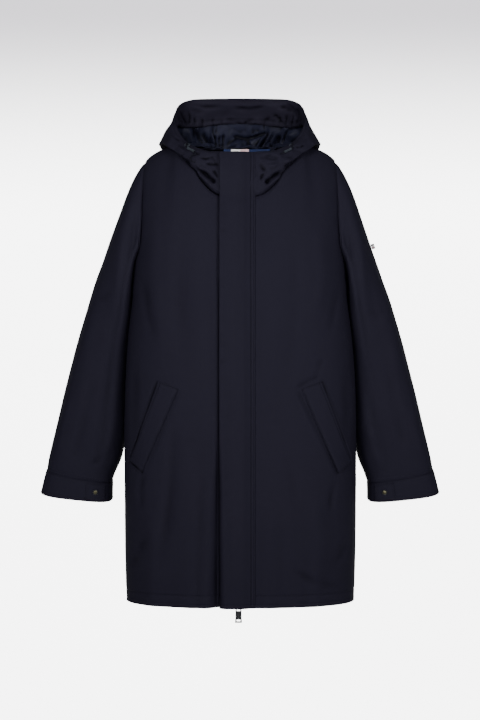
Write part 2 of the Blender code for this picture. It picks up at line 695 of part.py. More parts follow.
def make_lining(halves, hood):
    """The lining hangs inside the hood from the facing's edge to the neck seam."""
    walls = {side: lining_half(halves, hood, side) for side in (-1, 1)}
    make_panels("lining", walls, LINING_PANEL_COLUMN, "lining")


def make_tape(halves):
    """The tape covers the back neck seam from inside, and the label lies on the tape."""
    loop = neck_loop(halves, 1)
    back = loop[loop[:, 1] > 0.0][::-1]

    def at(x, z, depth):
        y = np.interp(abs(x), back[:, 0], back[:, 1])
        inwards = unit(np.array([-x, HOOD_CENTRE_Y - y, 0.0]))
        point = np.array([x, y, z]) + inwards * depth
        return point

    label_depth = TAPE_DEPTH + LABEL_WALL + GAP
    rows = (("neck_tape", TAPE_FROM_X, TAPE_TO_X, TAPE_HEIGHT, TAPE_DEPTH, 12, "tape"),
            ("neck_label", -LABEL_WIDTH / 2.0, LABEL_WIDTH / 2.0, LABEL_HEIGHT, label_depth, 5, "label"))
    for name, x_from, x_to, height, depth, steps, finish in rows:
        xs = np.linspace(x_from, x_to, steps + 1)
        grids = [np.array([[at(x, z, d) for x in xs] for z in (TAPE_TOP_Z - height, TAPE_TOP_Z)])
                 for d in (depth, depth + LABEL_WALL)]
        shell(name, *grids, finish)


# ---------------------------------------------------------------- front closure

def body_row(down):
    def at(x):
        share = share_at_x(lambda s: body_point("front", down, s), abs(x)) if x else 0.0
        return body_point("front", down, share)
    return at


def hood_row(hood, r):
    def at(x):
        row = hood[-1 if x < 0 else 1][0][r, :4]
        y, z = (np.interp(abs(x), row[:, 0], row[:, k]) for k in (1, 2))
        return np.array([abs(x), y, z])
    return at


def front_strip(hood, xs, lift_at):
    """A grid up the centre front at the given x values, each point moved out from the cloth."""
    rows = [body_row(down) for down in body_rows()]
    rows += [hood_row(hood, r) for r in range(1, HOOD_ROWS + FACING_ROWS + 1)]
    grid = np.array([[mirrored(row(x), -1.0 if x < 0 else 1.0) for x in xs] for row in rows])
    normals = grid_normals(grid)
    normals[:, :, 0] = 0.0
    normals /= np.linalg.norm(normals, axis=2, keepdims=True)
    lifts = np.array([lift_at(x) for x in xs])[None, :, None]
    return grid + normals * lifts


def placket_lift(x):
    """The placket lies flat along its stitched edge and stands off over the zip."""
    return 2.0 * GAP + PLACKET_STAND_OFF * smooth_step((PLACKET_SEAM_X - 0.006 - x) / 0.024)


def make_placket(hood):
    xs = np.linspace(PLACKET_FREE_X, PLACKET_SEAM_X, PLACKET_COLUMNS + 1)
    outer = front_strip(hood, xs, lambda x: placket_lift(x) + PLACKET_WALL)
    shell("placket", outer, front_strip(hood, xs, placket_lift), "cloth")


def make_zip_tape(hood):
    xs = np.linspace(ZIP_X - ZIP_HALF_WIDTH, ZIP_X + ZIP_HALF_WIDTH, 3)
    outer = front_strip(hood, xs, lambda x: 0.0)
    shell("zip_tape", outer, front_strip(hood, xs, lambda x: -WALL), "cord")
    return outer[0, 1]


def add_box(name, centre, size, finish):
    built = bmesh.new()
    bmesh.ops.create_cube(built, size=1.0)
    bmesh.ops.scale(built, vec=size, verts=built.verts)
    bmesh.ops.translate(built, vec=centre, verts=built.verts)
    return add_bmesh(name, built, finish, smooth=False)


def add_rod(name, centre, radius, length, finish):
    """A rod along X."""
    built = bmesh.new()
    bmesh.ops.create_cone(built, cap_ends=True, segments=16, radius1=radius, radius2=radius, depth=length)
    item = add_bmesh(name, built, finish)
    item.rotation_euler = (0.0, math.radians(90.0), 0.0)
    item.location = centre
    return item


def combine(item, other, operation):
    """Joins or cuts, and keeps the other shape as a guide that isn't part of the model."""
    step = item.modifiers.new(other.name, "BOOLEAN")
    step.object = other
    step.operation = operation
    parts.objects.unlink(other)
    cutters.objects.link(other)
    other.hide_render = True
    other.display_type = "WIRE"


def make_slider(zip_foot):
    """The slider stands at the zip's lower end, and its pin carries the pull."""
    _, depth, height = SLIDER_SIZE
    block_y = zip_foot[1] - 3.0 * GAP - depth / 2.0
    slider = add_box("zip_slider", (ZIP_X, block_y, HEM_Z + height / 2.0), SLIDER_SIZE, "metal")
    ear_width, ear_depth, _ = EAR_SIZE
    axis = np.array([ZIP_X, block_y - depth / 2.0 - BARREL_RADIUS - GAP, HEM_Z - PULL_AXIS_DROP])
    ear_x = BARREL_LENGTH / 2.0 + GAP + ear_width / 2.0
    for sign in (-1, 1):
        place = (ZIP_X + sign * ear_x, block_y - (depth + ear_depth) / 2.0 + EAR_SINKS, axis[2] + EAR_RISE)
        ear = add_box(f"slider_ear_{sign}", place, EAR_SIZE, "metal")
        combine(slider, ear, "UNION")
    pin = add_rod("slider_pin", axis, PIN_RADIUS, 2.0 * ear_x, "metal")
    combine(slider, pin, "UNION")
    return axis


def pull_outline():
    """The pull's outline as x and z from the axis, and its two holes."""
    top, end, length = PULL_TOP_WIDTH / 2.0, PULL_END_WIDTH / 2.0, PULL_LENGTH
    half = [(0.0027, 0.0), (0.0027, -0.0027), (top, -0.0035), (top * 0.94, -length * 0.40),
            (top * 1.02, -length * 0.62),
            (end, -length * 0.78), (end * 0.94, -length * 0.88), (end * 0.55, -length * 0.97), (0.0, -length)]
    outline = half + [(-x, z) for x, z in reversed(half[:-1])]
    slot = [(-0.0034, -0.0042), (0.0034, -0.0042), (0.0030, -0.0078), (-0.0030, -0.0078)]
    ring = [(0.0047 * math.cos(a), -length * 0.82 + 0.0030 * math.sin(a))
            for a in np.linspace(0.0, 2.0 * math.pi, 12, endpoint=False)]
    return outline, slot, ring


def plate_mesh(name, outlines, thickness):
    """A flat outline with holes, extruded, as a mesh."""
    curve = bpy.data.curves.new(name, "CURVE")
    curve.dimensions = "2D"
    curve.fill_mode = "BOTH"
    curve.extrude = thickness / 2.0
    for outline in outlines:
        spline = curve.splines.new("POLY")
        spline.points.add(len(outline) - 1)
        for point, (x, z) in zip(spline.points, outline):
            point.co = (x, z, 0.0, 1.0)
        spline.use_cyclic_u = True
    guide = bpy.data.objects.new(name, curve)
    bpy.context.scene.collection.objects.link(guide)
    evaluated = guide.evaluated_get(bpy.context.evaluated_depsgraph_get())
    mesh = bpy.data.meshes.new_from_object(evaluated)
    bpy.data.objects.remove(guide, do_unlink=True)
    built = bmesh.new()
    built.from_mesh(mesh)
    bmesh.ops.remove_doubles(built, verts=built.verts, dist=1e-6)
    return built


def make_pull(axis):
    """The pull hangs from the pin: a barrel round the pin and a flat tab with two holes."""
    built = plate_mesh("pull_outline", pull_outline(), PULL_THICKNESS)
    pull = add_bmesh("zip_pull", built, "metal", smooth=False)
    pull.rotation_euler = (math.radians(90.0), 0.0, 0.0)
    pull.location = axis
    combine(pull, add_rod("pull_barrel", axis, BARREL_RADIUS, BARREL_LENGTH, "metal"), "UNION")
    combine(pull, add_rod("pull_bore", axis, BARREL_BORE, 2.0 * BARREL_LENGTH, "metal"), "DIFFERENCE")


# ---------------------------------------------------------------- small pieces

def make_disc(name, point, normal, radius, height, finish):
    """A low round cap that stands on a point."""
    built = bmesh.new()
    bmesh.ops.create_cone(built, cap_ends=True, segments=16, depth=height,
                          radius1=radius, radius2=radius * SNAP_TOP)
    item = add_bmesh(name, built, finish)
    item.rotation_euler = Vector(normal).to_track_quat("Z", "Y").to_euler()
    item.location = Vector(point) + Vector(normal) * height / 2.0
    return item


def on_body(x, z, lift):
    """A point of the front at x and z below the underarm, moved out along its normal."""
    half_width, front, _ = from_table(BODY_TABLE, z)
    power = BODY_SQUARENESS
    ratio = min(abs(x) / half_width, 0.999)
    reach = (1.0 - ratio**power) ** (1.0 / power)
    normal = unit(np.array([ratio ** (power - 1.0) / half_width, -reach ** (power - 1.0) / front, 0.0]))
    return np.array([x, BODY_CENTRE_Y - front * reach, z]) + normal * lift


def make_welts():
    corners = {name: np.array(value) for name, value in WELT_CORNERS.items()}
    for side in (-1, 1):
        grids = []
        for lift in (WELT_LIFT + THIN_WALL, WELT_LIFT):
            rows = []
            for down in np.linspace(0.0, 1.0, WELT_ROWS + 1):
                inner = corners["top_inner"] + (corners["end_inner"] - corners["top_inner"]) * down
                outer = corners["top_outer"] + (corners["end_outer"] - corners["top_outer"]) * down
                rows.append([on_body(*(inner + (outer - inner) * c / WELT_COLUMNS), lift)
                             for c in range(WELT_COLUMNS + 1)])
            grids.append(mirrored(np.array(rows), side))
        shell(side_name("pocket_welt", side), *grids, "cloth")


def make_sleeve_tab():
    """A small woven tab in the left sleeve's outer seam, standing straight out."""
    outers = [(row[2], row[0]) for row in SLEEVE_TABLE]
    along = np.interp(-SLEEVE_TAB_Z, [-z for z, _ in outers], [a for _, a in outers])
    root = sleeve_ring(along, SLEEVE_TAB_TURN)
    direction = sleeve_ring(along + 0.01, 0.0) - sleeve_ring(along - 0.01, 0.0)
    lean = math.atan2(direction[0], -direction[2])
    width = SLEEVE_TAB_SIZE[0]
    tab = add_box("sleeve_tab", (0.0, 0.0, 0.0), SLEEVE_TAB_SIZE, "label")
    tab.rotation_euler = (0.0, -lean, 0.0)
    out = np.array([math.cos(lean), 0.0, math.sin(lean)])
    tab.location = root + out * (width / 2.0 + SLEEVE_TAB_CLEAR)


def make_ring(name, point, normal, finish):
    bpy.ops.mesh.primitive_torus_add(major_radius=EYELET_RADIUS, minor_radius=EYELET_TUBE,
                                     major_segments=20, minor_segments=8)
    ring = bpy.context.object
    ring.name = ring.data.name = name
    for owner in list(ring.users_collection):
        owner.objects.unlink(ring)
    parts.objects.link(ring)
    ring.data.materials.append(make_material(name, finish))
    ring.rotation_euler = Vector(normal).to_track_quat("Z", "Y").to_euler()
    ring.location = Vector(point)


def make_barrel(name, start, end, finish):
    """The cord lock: a tube turned about the line from start to end."""
    axis = Vector(end) - Vector(start)
    waist = LOCK_RADIUS * LOCK_WAIST
    outline = [(LOCK_BORE, axis.length), (waist, axis.length), (LOCK_RADIUS, axis.length - LOCK_LIP),
               (waist, axis.length / 2.0), (LOCK_RADIUS, LOCK_LIP), (waist, 0.0), (LOCK_BORE, 0.0)]
    mesh = bpy.data.meshes.new(name)
    points = [(x, 0.0, z) for x, z in outline]
    mesh.from_pydata(points, [(k, (k + 1) % len(points)) for k in range(len(points))], [])
    item = add_object(name, mesh, finish)
    turn = item.modifiers.new("turn", "SCREW")
    turn.steps = turn.render_steps = 16
    turn.use_merge_vertices = True
    turn.merge_threshold = 1e-5
    item.rotation_euler = axis.to_track_quat("Z", "Y").to_euler()
    item.location = start


def make_cord(name, places):
    """A round cord along a smooth route through the places."""
    count = int(length_of(places) / CORD_STEP)
    curve = bpy.data.curves.new(name, "CURVE")
    curve.dimensions = "3D"
    curve.bevel_depth = CORD_RADIUS
    curve.bevel_resolution = 2
    curve.use_fill_caps = True
    spline = curve.splines.new("POLY")
    spline.points.add(count)
    for k, point in enumerate(spline.points):
        point.co = (*along_points(places, k / count), 1.0)
    curve.materials.append(make_material(name, "cord"))
    parts.objects.link(bpy.data.objects.new(name, curve))


def make_cord_hardware():
    """On each side an eyelet, the cord that leaves it, and the lock that the cord runs through."""
    for side, pieces in CORD_HARDWARE.items():
        make_ring(f"eyelet_{side}", pieces["eyelet"], pieces["outwards"], "metal")
        make_barrel(f"cord_lock_{side}", *pieces["lock"], "slate")
        make_cord(f"drawcord_{side}", pieces["cord"])


def main():
    halves = {}
    for side in (-1, 1):
        halves[side, "front"] = body_half("front", front_start(side))
        halves[side, "back"] = body_half("back", SEAM_SHARE)
        share_edges(halves[side, "front"], halves[side, "back"])
    hood = {side: hood_half(halves, side) for side in (-1, 1)}
    make_body(halves)
    make_sleeves(halves)
    make_hood(hood)
    make_facing(hood)
    make_lining(halves, hood)
    make_tape(halves)
    make_placket(hood)
    axis = make_slider(make_zip_tape(hood))
    make_pull(axis)
    make_welts()
    make_sleeve_tab()
    make_cord_hardware()


clear_scene()
parts = make_collection("parka")
cutters = make_collection("cutters")
main()
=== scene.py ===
import math

import bmesh
import bpy
import numpy as np
from mathutils import Matrix, Vector
from mathutils.bvhtree import BVHTree


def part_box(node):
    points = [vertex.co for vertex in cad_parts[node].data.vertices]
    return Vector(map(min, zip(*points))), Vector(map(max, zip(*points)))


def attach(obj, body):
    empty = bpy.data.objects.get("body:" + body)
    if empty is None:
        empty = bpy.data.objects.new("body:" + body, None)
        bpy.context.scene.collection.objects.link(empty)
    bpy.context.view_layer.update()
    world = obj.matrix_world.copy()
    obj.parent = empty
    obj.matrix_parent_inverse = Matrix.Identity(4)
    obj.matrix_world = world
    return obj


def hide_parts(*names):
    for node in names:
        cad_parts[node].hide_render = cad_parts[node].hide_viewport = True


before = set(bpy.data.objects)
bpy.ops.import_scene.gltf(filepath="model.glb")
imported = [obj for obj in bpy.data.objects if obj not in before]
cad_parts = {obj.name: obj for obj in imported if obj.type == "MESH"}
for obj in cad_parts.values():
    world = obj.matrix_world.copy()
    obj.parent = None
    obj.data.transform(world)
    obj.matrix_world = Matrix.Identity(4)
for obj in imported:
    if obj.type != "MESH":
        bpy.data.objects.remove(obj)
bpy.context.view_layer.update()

# Metres. The coat's front faces -Y. Left and right are the wearer's.
sides = ("right", "left")


# points in arrays

def unit(vectors):
    return vectors / np.maximum(np.linalg.norm(vectors, axis=-1, keepdims=True), 1e-9)


def easeIn(values):
    values = np.clip(values, 0.0, 1.0)
    return values * values * (3.0 - 2.0 * values)


def rise(values, start, length):    # 0 up to start, then softly up to 1 over a length
    return easeIn((values - start) / length)


def lengthsAlong(line):    # how far each point lies from the first, along the line
    return np.concatenate([[0.0], np.cumsum(np.linalg.norm(np.diff(line, axis=0), axis=1))])


def softNoise(points, size, seed, cells=24):    # smooth bumps from -1 to 1, each about one size wide
    lattice = np.random.RandomState(seed).uniform(-1.0, 1.0, (cells, cells, cells))
    scaled = points / np.asarray(size) + 100.0 + seed
    cell = np.floor(scaled).astype(int)
    part = easeIn(scaled - cell)
    total = np.zeros(points.shape[:-1])
    for corner in np.ndindex(2, 2, 2):
        share = np.prod(np.abs(1 - np.array(corner) - part), axis=-1)
        x, y, z = ((cell[..., k] + corner[k]) % cells for k in range(3))
        total += share * lattice[x, y, z]
    return total


# cloth: a fine sheet through the points of a CAD wall

def sidesOf(faces):    # the two largest groups of joined faces
    groups, left = [], set(faces)
    while left:
        group, queue = set(), [left.pop()]
        while queue:
            face = queue.pop()
            group.add(face)
            for edge in face.edges:
                joined = [other for other in edge.link_faces if other in left]
                left.difference_update(joined)
                queue += joined
        groups.append(group)
    return sorted(groups, key=len)[-2:]


def neighboursIn(faces):    # each point's neighbours, and those along the sheet's edge
    near, border = {}, {}
    for face in faces:
        for edge in face.edges:
            a, b = edge.verts
            near.setdefault(a, set()).add(b)
            near.setdefault(b, set()).add(a)
            if sum(other in faces for other in edge.link_faces) == 1:
                border.setdefault(a, set()).add(b)
                border.setdefault(b, set()).add(a)
    return near, border


def readSheet(node, plan):
    # rows and columns of one side of a wall, from the corner nearest to start, first towards the second point
    built = bmesh.new()
    built.from_mesh(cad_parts[node].data)
    bmesh.ops.remove_doubles(built, verts=built.verts, dist=1e-5)
    built.normal_update()
    walls = (plan["wall"], plan.get("thinWall", plan["wall"]))

    def isRim(face):    # only the rim's edges are as long as the wall is thick
        return any(abs(edge.calc_length() / wall - 1.0) <= 0.003 for edge in face.edges for wall in walls)

    centre = Vector(plan["centre"])
    wanted = -1.0 if plan.get("inside") else 1.0

    def outwardness(group):
        return wanted * sum(f.normal.dot(f.calc_center_median() - centre) * f.calc_area() for f in group)

    side = max(sidesOf([f for f in built.faces if not isRim(f)]), key=outwardness)
    near, border = neighboursIn(side)
    start, toward, columns = Vector(plan["start"]), Vector(plan["toward"]), plan["columns"]
    first = min(border, key=lambda v: (v.co - start).length)
    loop = [first, min(border[first], key=lambda v: (v.co - toward).length)]
    while True:
        after = next(v for v in border[loop[-1]] if v is not loop[-2])
        if after is first:
            break
        loop.append(after)
    rows, used = [loop[:columns]], set(loop[:columns])
    while len(used) < len(near):
        above = rows[-1]
        if plan.get("closed"):
            free = [v for v in near[above[0]] if v not in used]
            row = [min(free, key=lambda v: (v.co - above[0].co).length)]
        else:
            row = [loop[-len(rows)]]
        used.add(row[0])
        for k in range(1, columns):
            both = [v for v in near[above[k]] & near[row[-1]] if v not in used]
            row.append(min(both, key=lambda v: (v.co - above[k].co).length))
            used.add(row[-1])
        rows.append(row)
    outward = {v: sum((f.normal for f in v.link_faces if f in side), Vector()) for v in near}
    points = np.array([[v.co for v in row] for row in rows])
    facing = np.array([[outward[v] for v in row] for row in rows])
    built.free()
    return points, 1.0 if np.sum(gridNormals(points, plan.get("closed")) * facing) > 0.0 else -1.0


def gridNormals(points, closed=False):
    if closed:
        across = np.roll(points, -1, axis=1) - np.roll(points, 1, axis=1)
    else:
        across = np.gradient(points, axis=1)
    return unit(np.cross(across, np.gradient(points, axis=0)))


def finerAlong(points, step, marks=(), closed=False, apart=0.0006):
    # more rows on a smooth curve through them, and rows at the marks' distances from each end
    if closed:
        points = np.concatenate([points[-1:], points, points[:2]])
    gaps = np.linalg.norm(np.diff(points, axis=0), axis=-1).mean(axis=1)
    stations = np.concatenate([[0.0], np.cumsum(gaps)])
    steepness = np.diff(points, axis=0) / gaps[:, None, None]
    slopes = np.empty_like(points)
    slopes[[0, -1]] = steepness[[0, -1]]
    if len(points) > 2:
        slopes[1:-1] = (points[2:] - points[:-2]) / (stations[2:] - stations[:-2])[:, None, None]
        slopes[[0, -1]] = 1.5 * steepness[[0, -1]] - 0.5 * slopes[[1, -2]]
    places = []
    for k in range(1, len(points) - 2) if closed else range(len(points) - 1):
        count = max(1, round(gaps[k] / step))
        places += [stations[k] + gaps[k] * j / count for j in range(count)]
    if not closed:
        whole = stations[-1]
        near = [m for m in marks if m < 0.45 * whole]
        fixed = [0.0, whole] + near + [whole - m for m in near]
        places = fixed + [p for p in places if min(abs(p - f) for f in fixed) > apart]
    places = np.array(sorted(places))
    k = np.clip(np.searchsorted(stations, places, side="right") - 1, 0, len(gaps) - 1)
    t = ((places - stations[k]) / gaps[k])[:, None, None]
    span = gaps[k][:, None, None]
    a, b, m, n = points[k], points[k + 1], slopes[k] * span, slopes[k + 1] * span
    return ((2 * t**3 - 3 * t**2 + 1) * a + (t**3 - 2 * t**2 + t) * m
            + (3 * t**2 - 2 * t**3) * b + (t**3 - t**2) * n)


sheetLook = dict(step=0.0040, marks=(0.0008, 0.0025, 0.0045, 0.0065, 0.0090))


def fineSheet(node, plan):
    closed, wall = plan.get("closed", False), plan.get("thinWall", plan["wall"])
    points, turned = readSheet(node, plan)
    if "top" in plan:
        points = trimTop(points, plan["top"])
    step, marks = plan.get("step", sheetLook["step"]), plan.get("marks", sheetLook["marks"])
    points = finerAlong(points, step, marks)
    points = finerAlong(points.transpose(1, 0, 2), step, marks, closed).transpose(1, 0, 2)
    steps = np.linalg.norm(np.diff(points, axis=1), axis=-1)
    across = np.concatenate([np.zeros((len(points), 1)), np.cumsum(steps, axis=1)], axis=1)
    lastStep = np.linalg.norm(points[:, :1] - points[:, -1:], axis=-1) if closed else 0.0
    width = across[:, -1:] + lastStep
    steps = np.linalg.norm(np.diff(points, axis=0), axis=-1)
    down = np.concatenate([np.zeros((1, points.shape[1])), np.cumsum(steps, axis=0)], axis=0)
    edges = dict(first=down, last=down[-1:] - down, start=across, end=width - across)
    return dict(wall=wall, closed=closed, turned=turned, base=points, across=across, down=down, width=width,
                edges=edges, baseNormals=gridNormals(points, closed) * turned)


def raiseSheet(sheet, height):
    sheet["height"] = height
    sheet["points"] = sheet["base"] + sheet["baseNormals"] * height[..., None]
    sheet["normals"] = gridNormals(sheet["points"], sheet["closed"]) * sheet["turned"]


creaseLook = dict(fades=(0.35, 0.35, 0.0), shoulder=0.45, waver=0.18, ripple=11.0)


def creaseHeight(points, normals, folds):
    # soft troughs, or ridges where depth is negative, along lines seen from before or from behind
    height = np.zeros(points.shape[:-1])
    flat = points[..., [0, 2]]
    for side, creases in folds.items():
        facing = 1.0 if side == "behind" else -1.0
        seen = easeIn(0.5 + 2.5 * facing * normals[..., 1])
        for path, width, depth, *more in creases:
            fadeIn, fadeOut, spread = (*more, *creaseLook["fades"][len(more):])
            path = np.array(path)
            lengths = np.linalg.norm(np.diff(path, axis=0), axis=1)
            nearest, place, begin = np.full(height.shape, np.inf), np.zeros(height.shape), 0.0
            for a, b, length in zip(path, path[1:], lengths):
                t = np.clip(((flat - a) @ (b - a)) / length**2, 0.0, 1.0)
                away = np.linalg.norm(flat - (a + t[..., None] * (b - a)), axis=-1)
                closer = away < nearest
                nearest = np.where(closer, away, nearest)
                place = np.where(closer, (begin + t * length) / lengths.sum(), place)
                begin += length
            strength = easeIn(place / fadeIn) if fadeIn else 1.0
            strength = strength * (easeIn((1.0 - place) / fadeOut) if fadeOut else 1.0)
            wave = np.sin(creaseLook["ripple"] * place + 40.0 * path[0][0])    # no two alike
            strength = strength * (1.0 - creaseLook["waver"] + creaseLook["waver"] * wave)
            reach = (nearest / (width * (1.0 + spread * place))) ** 2
            height -= depth * strength * seen * (1.0 - creaseLook["shoulder"] * reach) * np.exp(-reach)
    return height


seamLook = dict(puckerLength=0.011, puckerDepth=0.045, puckerReach=0.016, groove=(0.0005, 0.0011), seed=11)


def seamHeight(sheet, seams):
    # the cloth sinks at a seam, puckers along it, and a row of stitches draws in its own groove
    height, seed = np.zeros(sheet["down"].shape), seamLook["seed"]
    for edge, sink, width, pucker, *grooves in seams:
        away = sheet["edges"][edge]
        along = sheet["across"] if edge in ("first", "last") else sheet["down"]
        place = np.stack([along / seamLook["puckerLength"], away / seamLook["puckerDepth"],
                          np.full(away.shape, seed * 1.7)], axis=-1)
        height -= sink * np.exp(-(away / width) ** 2)
        held = np.exp(-(away / seamLook["puckerReach"]) ** 2) * easeIn(away / 0.003)
        height += pucker * softNoise(place, 1.0, seed) * held
        for inset, *more in grooves:
            depth, reach = more or seamLook["groove"]
            height -= depth * np.exp(-((away - inset) / reach) ** 2)
    return height


def trimTop(points, level):    # the last row moves down its columns to one height
    trimmed = np.empty_like(points)
    rows = np.arange(len(points))
    for c in range(points.shape[1]):
        column = points[:, c]
        last = float(np.interp(level, column[-4:, 2], rows[-4:]))
        at = rows * last / rows[-1]
        trimmed[:, c] = np.stack([np.interp(at, rows, column[:, k]) for k in range(3)], axis=-1)
    return trimmed


def dipsOf(height, deep, reach=3):
    # 0 to 1: how far each point lies below the cloth around it
    around = height
    for axis in (0, 1):
        margins = [(0, 0), (0, 0)]
        margins[axis] = (reach, reach)
        padded = np.pad(around, margins, mode="edge")
        places = np.arange(height.shape[axis])
        around = np.mean([np.take(padded, places + k, axis=axis) for k in range(2 * reach + 1)], axis=0)
    return np.clip((around - height) / deep, 0.0, 1.0)


def addPiece(name, mesh, finish):
    mesh.materials.append(finish)
    piece = bpy.data.objects.new(name, mesh)
    bpy.context.scene.collection.objects.link(piece)
    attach(piece, "coat")
    return piece


wallLook = dict(inner=0.9, bulge=0.35)    # how much of a fold shows inside, and how round the edges are


def makeSheet(name, sheet, finish):
    # a closed wall: the sheet, its other side and rounded edges, with its cloth's own lengths as the UV map
    closed, wall = sheet["closed"], sheet["wall"]
    rowCount, columnCount = sheet["down"].shape
    half = rowCount * columnCount
    inner = sheet["base"] + sheet["baseNormals"] * (sheet["height"] * wallLook["inner"] - wall)[..., None]
    outer = sheet["points"].reshape(-1, 3)
    index = np.arange(half).reshape(rowCount, columnCount)
    if closed:
        corner, after = index, np.roll(index, -1, axis=1)
        rings = [index[0], index[-1, ::-1]]
    else:
        corner, after = index[:, :-1], index[:, 1:]
        rings = [np.concatenate([index[0, :-1], index[:-1, -1], index[-1, :0:-1], index[:0:-1, 0]])]
    quads = np.stack([corner[:-1], after[:-1], after[1:], corner[1:]], axis=-1).reshape(-1, 4)
    vertices, faces = [outer, inner.reshape(-1, 3)], [quads, quads[:, ::-1] + half]
    uv = np.stack([sheet["across"], sheet["down"]], axis=-1).reshape(-1, 2)
    places, count = [uv, uv], 2 * half
    for ring in rings:
        row, column = np.divmod(ring, columnCount)
        beside = column if closed else np.clip(column, 1, columnCount - 2)
        inside = index[np.clip(row, 1, rowCount - 2), beside]
        away = unit(outer[ring] - outer[inside])
        vertices.append(0.5 * (outer[ring] + vertices[1][ring]) + away * wall * wallLook["bulge"])
        places.append(uv[ring])
        middle = count + np.arange(len(ring))
        count += len(ring)
        for a, b in ((ring, middle), (middle, ring + half)):
            faces.append(np.stack([a, b, np.roll(b, -1), np.roll(a, -1)], axis=-1))
    faces = np.concatenate(faces)
    if sheet["turned"] < 0.0:
        faces = faces[:, ::-1]
    mesh = bpy.data.meshes.new(name)
    mesh.from_pydata(np.concatenate(vertices).tolist(), [], faces.tolist())
    corners = np.concatenate(places)[faces]
    if closed:    # the last column's faces run on past the seam
        whole = float(sheet["width"].mean())
        wraps = np.ptp(corners[..., 0], axis=1) > whole / 2
        corners[..., 0] += np.where(wraps[:, None] & (corners[..., 0] < whole / 2), whole, 0.0)
    mesh.uv_layers.new(name="cloth").data.foreach_set("uv", corners.reshape(-1).astype(np.float32))
    dips = np.zeros(len(mesh.vertices), dtype=np.float32)
    dips[:half] = dipsOf(sheet["height"], sheet["deep"]).reshape(-1)
    mesh.attributes.new("dips", "FLOAT", "POINT").data.foreach_set("value", dips)
    mesh.shade_smooth()
    return addPiece(name, mesh, finish)


# finishes

def newGroup(name, inputs, outputs):
    group = bpy.data.node_groups.new(name, "ShaderNodeTree")
    for socket, kind, value in inputs:
        made = group.interface.new_socket(name=socket, in_out="INPUT", socket_type=kind)
        if value is not None:
            made.default_value = value
    for socket, kind in outputs:
        group.interface.new_socket(name=socket, in_out="OUTPUT", socket_type=kind)
    return group, group.nodes.new("NodeGroupInput"), group.nodes.new("NodeGroupOutput")


def mathNode(tree, operation, first, second=None):
    node = tree.nodes.new("ShaderNodeMath")
    node.operation = operation
    for socket, value in zip(node.inputs, (first, second)):
        if isinstance(value, (int, float)):
            socket.default_value = value
        elif value is not None:
            tree.links.new(value, socket)
    return node.outputs[0]


def average(tree, first, second, share):    # the first counts for its share, the second for the rest
    return mathNode(tree, "ADD", mathNode(tree, "MULTIPLY", first, share),
                    mathNode(tree, "MULTIPLY", second, 1.0 - share))


def axesOf(tree, place):
    node = tree.nodes.new("ShaderNodeSeparateXYZ")
    tree.links.new(place, node.inputs[0])
    return node.outputs


def makeWeaveGroup():    # over-and-under threads: how high they stand, and a shade for each thread
    group, start, end = newGroup(
        "weave", [("Place", "NodeSocketVector", None), ("Threads", "NodeSocketFloat", 2000.0)],
        [("Height", "NodeSocketFloat"), ("Shade", "NodeSocketFloat")])
    axes = axesOf(group, start.outputs["Place"])
    across, along = (mathNode(group, "MULTIPLY", axes[k], start.outputs["Threads"]) for k in (0, 1))
    waves = [mathNode(group, "ABSOLUTE", mathNode(group, "SINE", mathNode(group, "MULTIPLY", value, math.pi)))
             for value in (across, along)]
    cells = mathNode(group, "ADD", mathNode(group, "FLOOR", across), mathNode(group, "FLOOR", along))
    over = mathNode(group, "MODULO", mathNode(group, "ABSOLUTE", cells), 2.0)
    under = mathNode(group, "SUBTRACT", 1.0, over)
    height = mathNode(group, "ADD", mathNode(group, "MULTIPLY", waves[0], over),
                      mathNode(group, "MULTIPLY", waves[1], under))
    group.links.new(height, end.inputs["Height"])
    speckle = group.nodes.new("ShaderNodeTexWhiteNoise")
    speckle.noise_dimensions = "1D"
    group.links.new(mathNode(group, "FLOOR", across), speckle.inputs["W"])
    group.links.new(average(group, speckle.outputs["Value"], height, 0.5), end.inputs["Shade"])
    return group


def makeUnevenGroup():    # broad patches and fine grain, both from 0 to 1
    group, start, end = newGroup(
        "uneven", [("Place", "NodeSocketVector", None), ("Patches", "NodeSocketFloat", 6.0),
                   ("Grain", "NodeSocketFloat", 300.0)],
        [("Patch", "NodeSocketFloat"), ("Fine", "NodeSocketFloat")])
    for size, output in (("Patches", "Patch"), ("Grain", "Fine")):
        noise = group.nodes.new("ShaderNodeTexNoise")
        noise.inputs["Detail"].default_value = 3.0
        group.links.new(start.outputs["Place"], noise.inputs["Vector"])
        group.links.new(start.outputs[size], noise.inputs["Scale"])
        group.links.new(noise.outputs["Fac"], end.inputs[output])
    return group


weaveGroup, unevenGroup = makeWeaveGroup(), makeUnevenGroup()


def addGroup(tree, group, place, **values):
    node = tree.nodes.new("ShaderNodeGroup")
    node.node_tree = group
    tree.links.new(place, node.inputs["Place"])
    for name, value in values.items():
        node.inputs[name].default_value = value
    return node


def mixed(tree, share, first, second):    # two colours by a share
    node = tree.nodes.new("ShaderNodeMix")
    node.data_type = "RGBA"
    tree.links.new(share, node.inputs[0])
    for socket, value in zip(node.inputs[6:8], (first, second)):
        if isinstance(value, tuple):
            socket.default_value = (*value, 1.0)
        else:
            tree.links.new(value, socket)
    return node.outputs[2]


def ranged(tree, value, low, high):    # 0 to 1 becomes low to high
    node = tree.nodes.new("ShaderNodeMapRange")
    tree.links.new(value, node.inputs["Value"])
    node.inputs["To Min"].default_value, node.inputs["To Max"].default_value = low, high
    return node.outputs["Result"]


def bumped(tree, height, distance, strength, before=None):
    node = tree.nodes.new("ShaderNodeBump")
    node.inputs["Distance"].default_value, node.inputs["Strength"].default_value = distance, strength
    tree.links.new(height, node.inputs["Height"])
    if before:
        tree.links.new(before, node.inputs["Normal"])
    return node.outputs["Normal"]


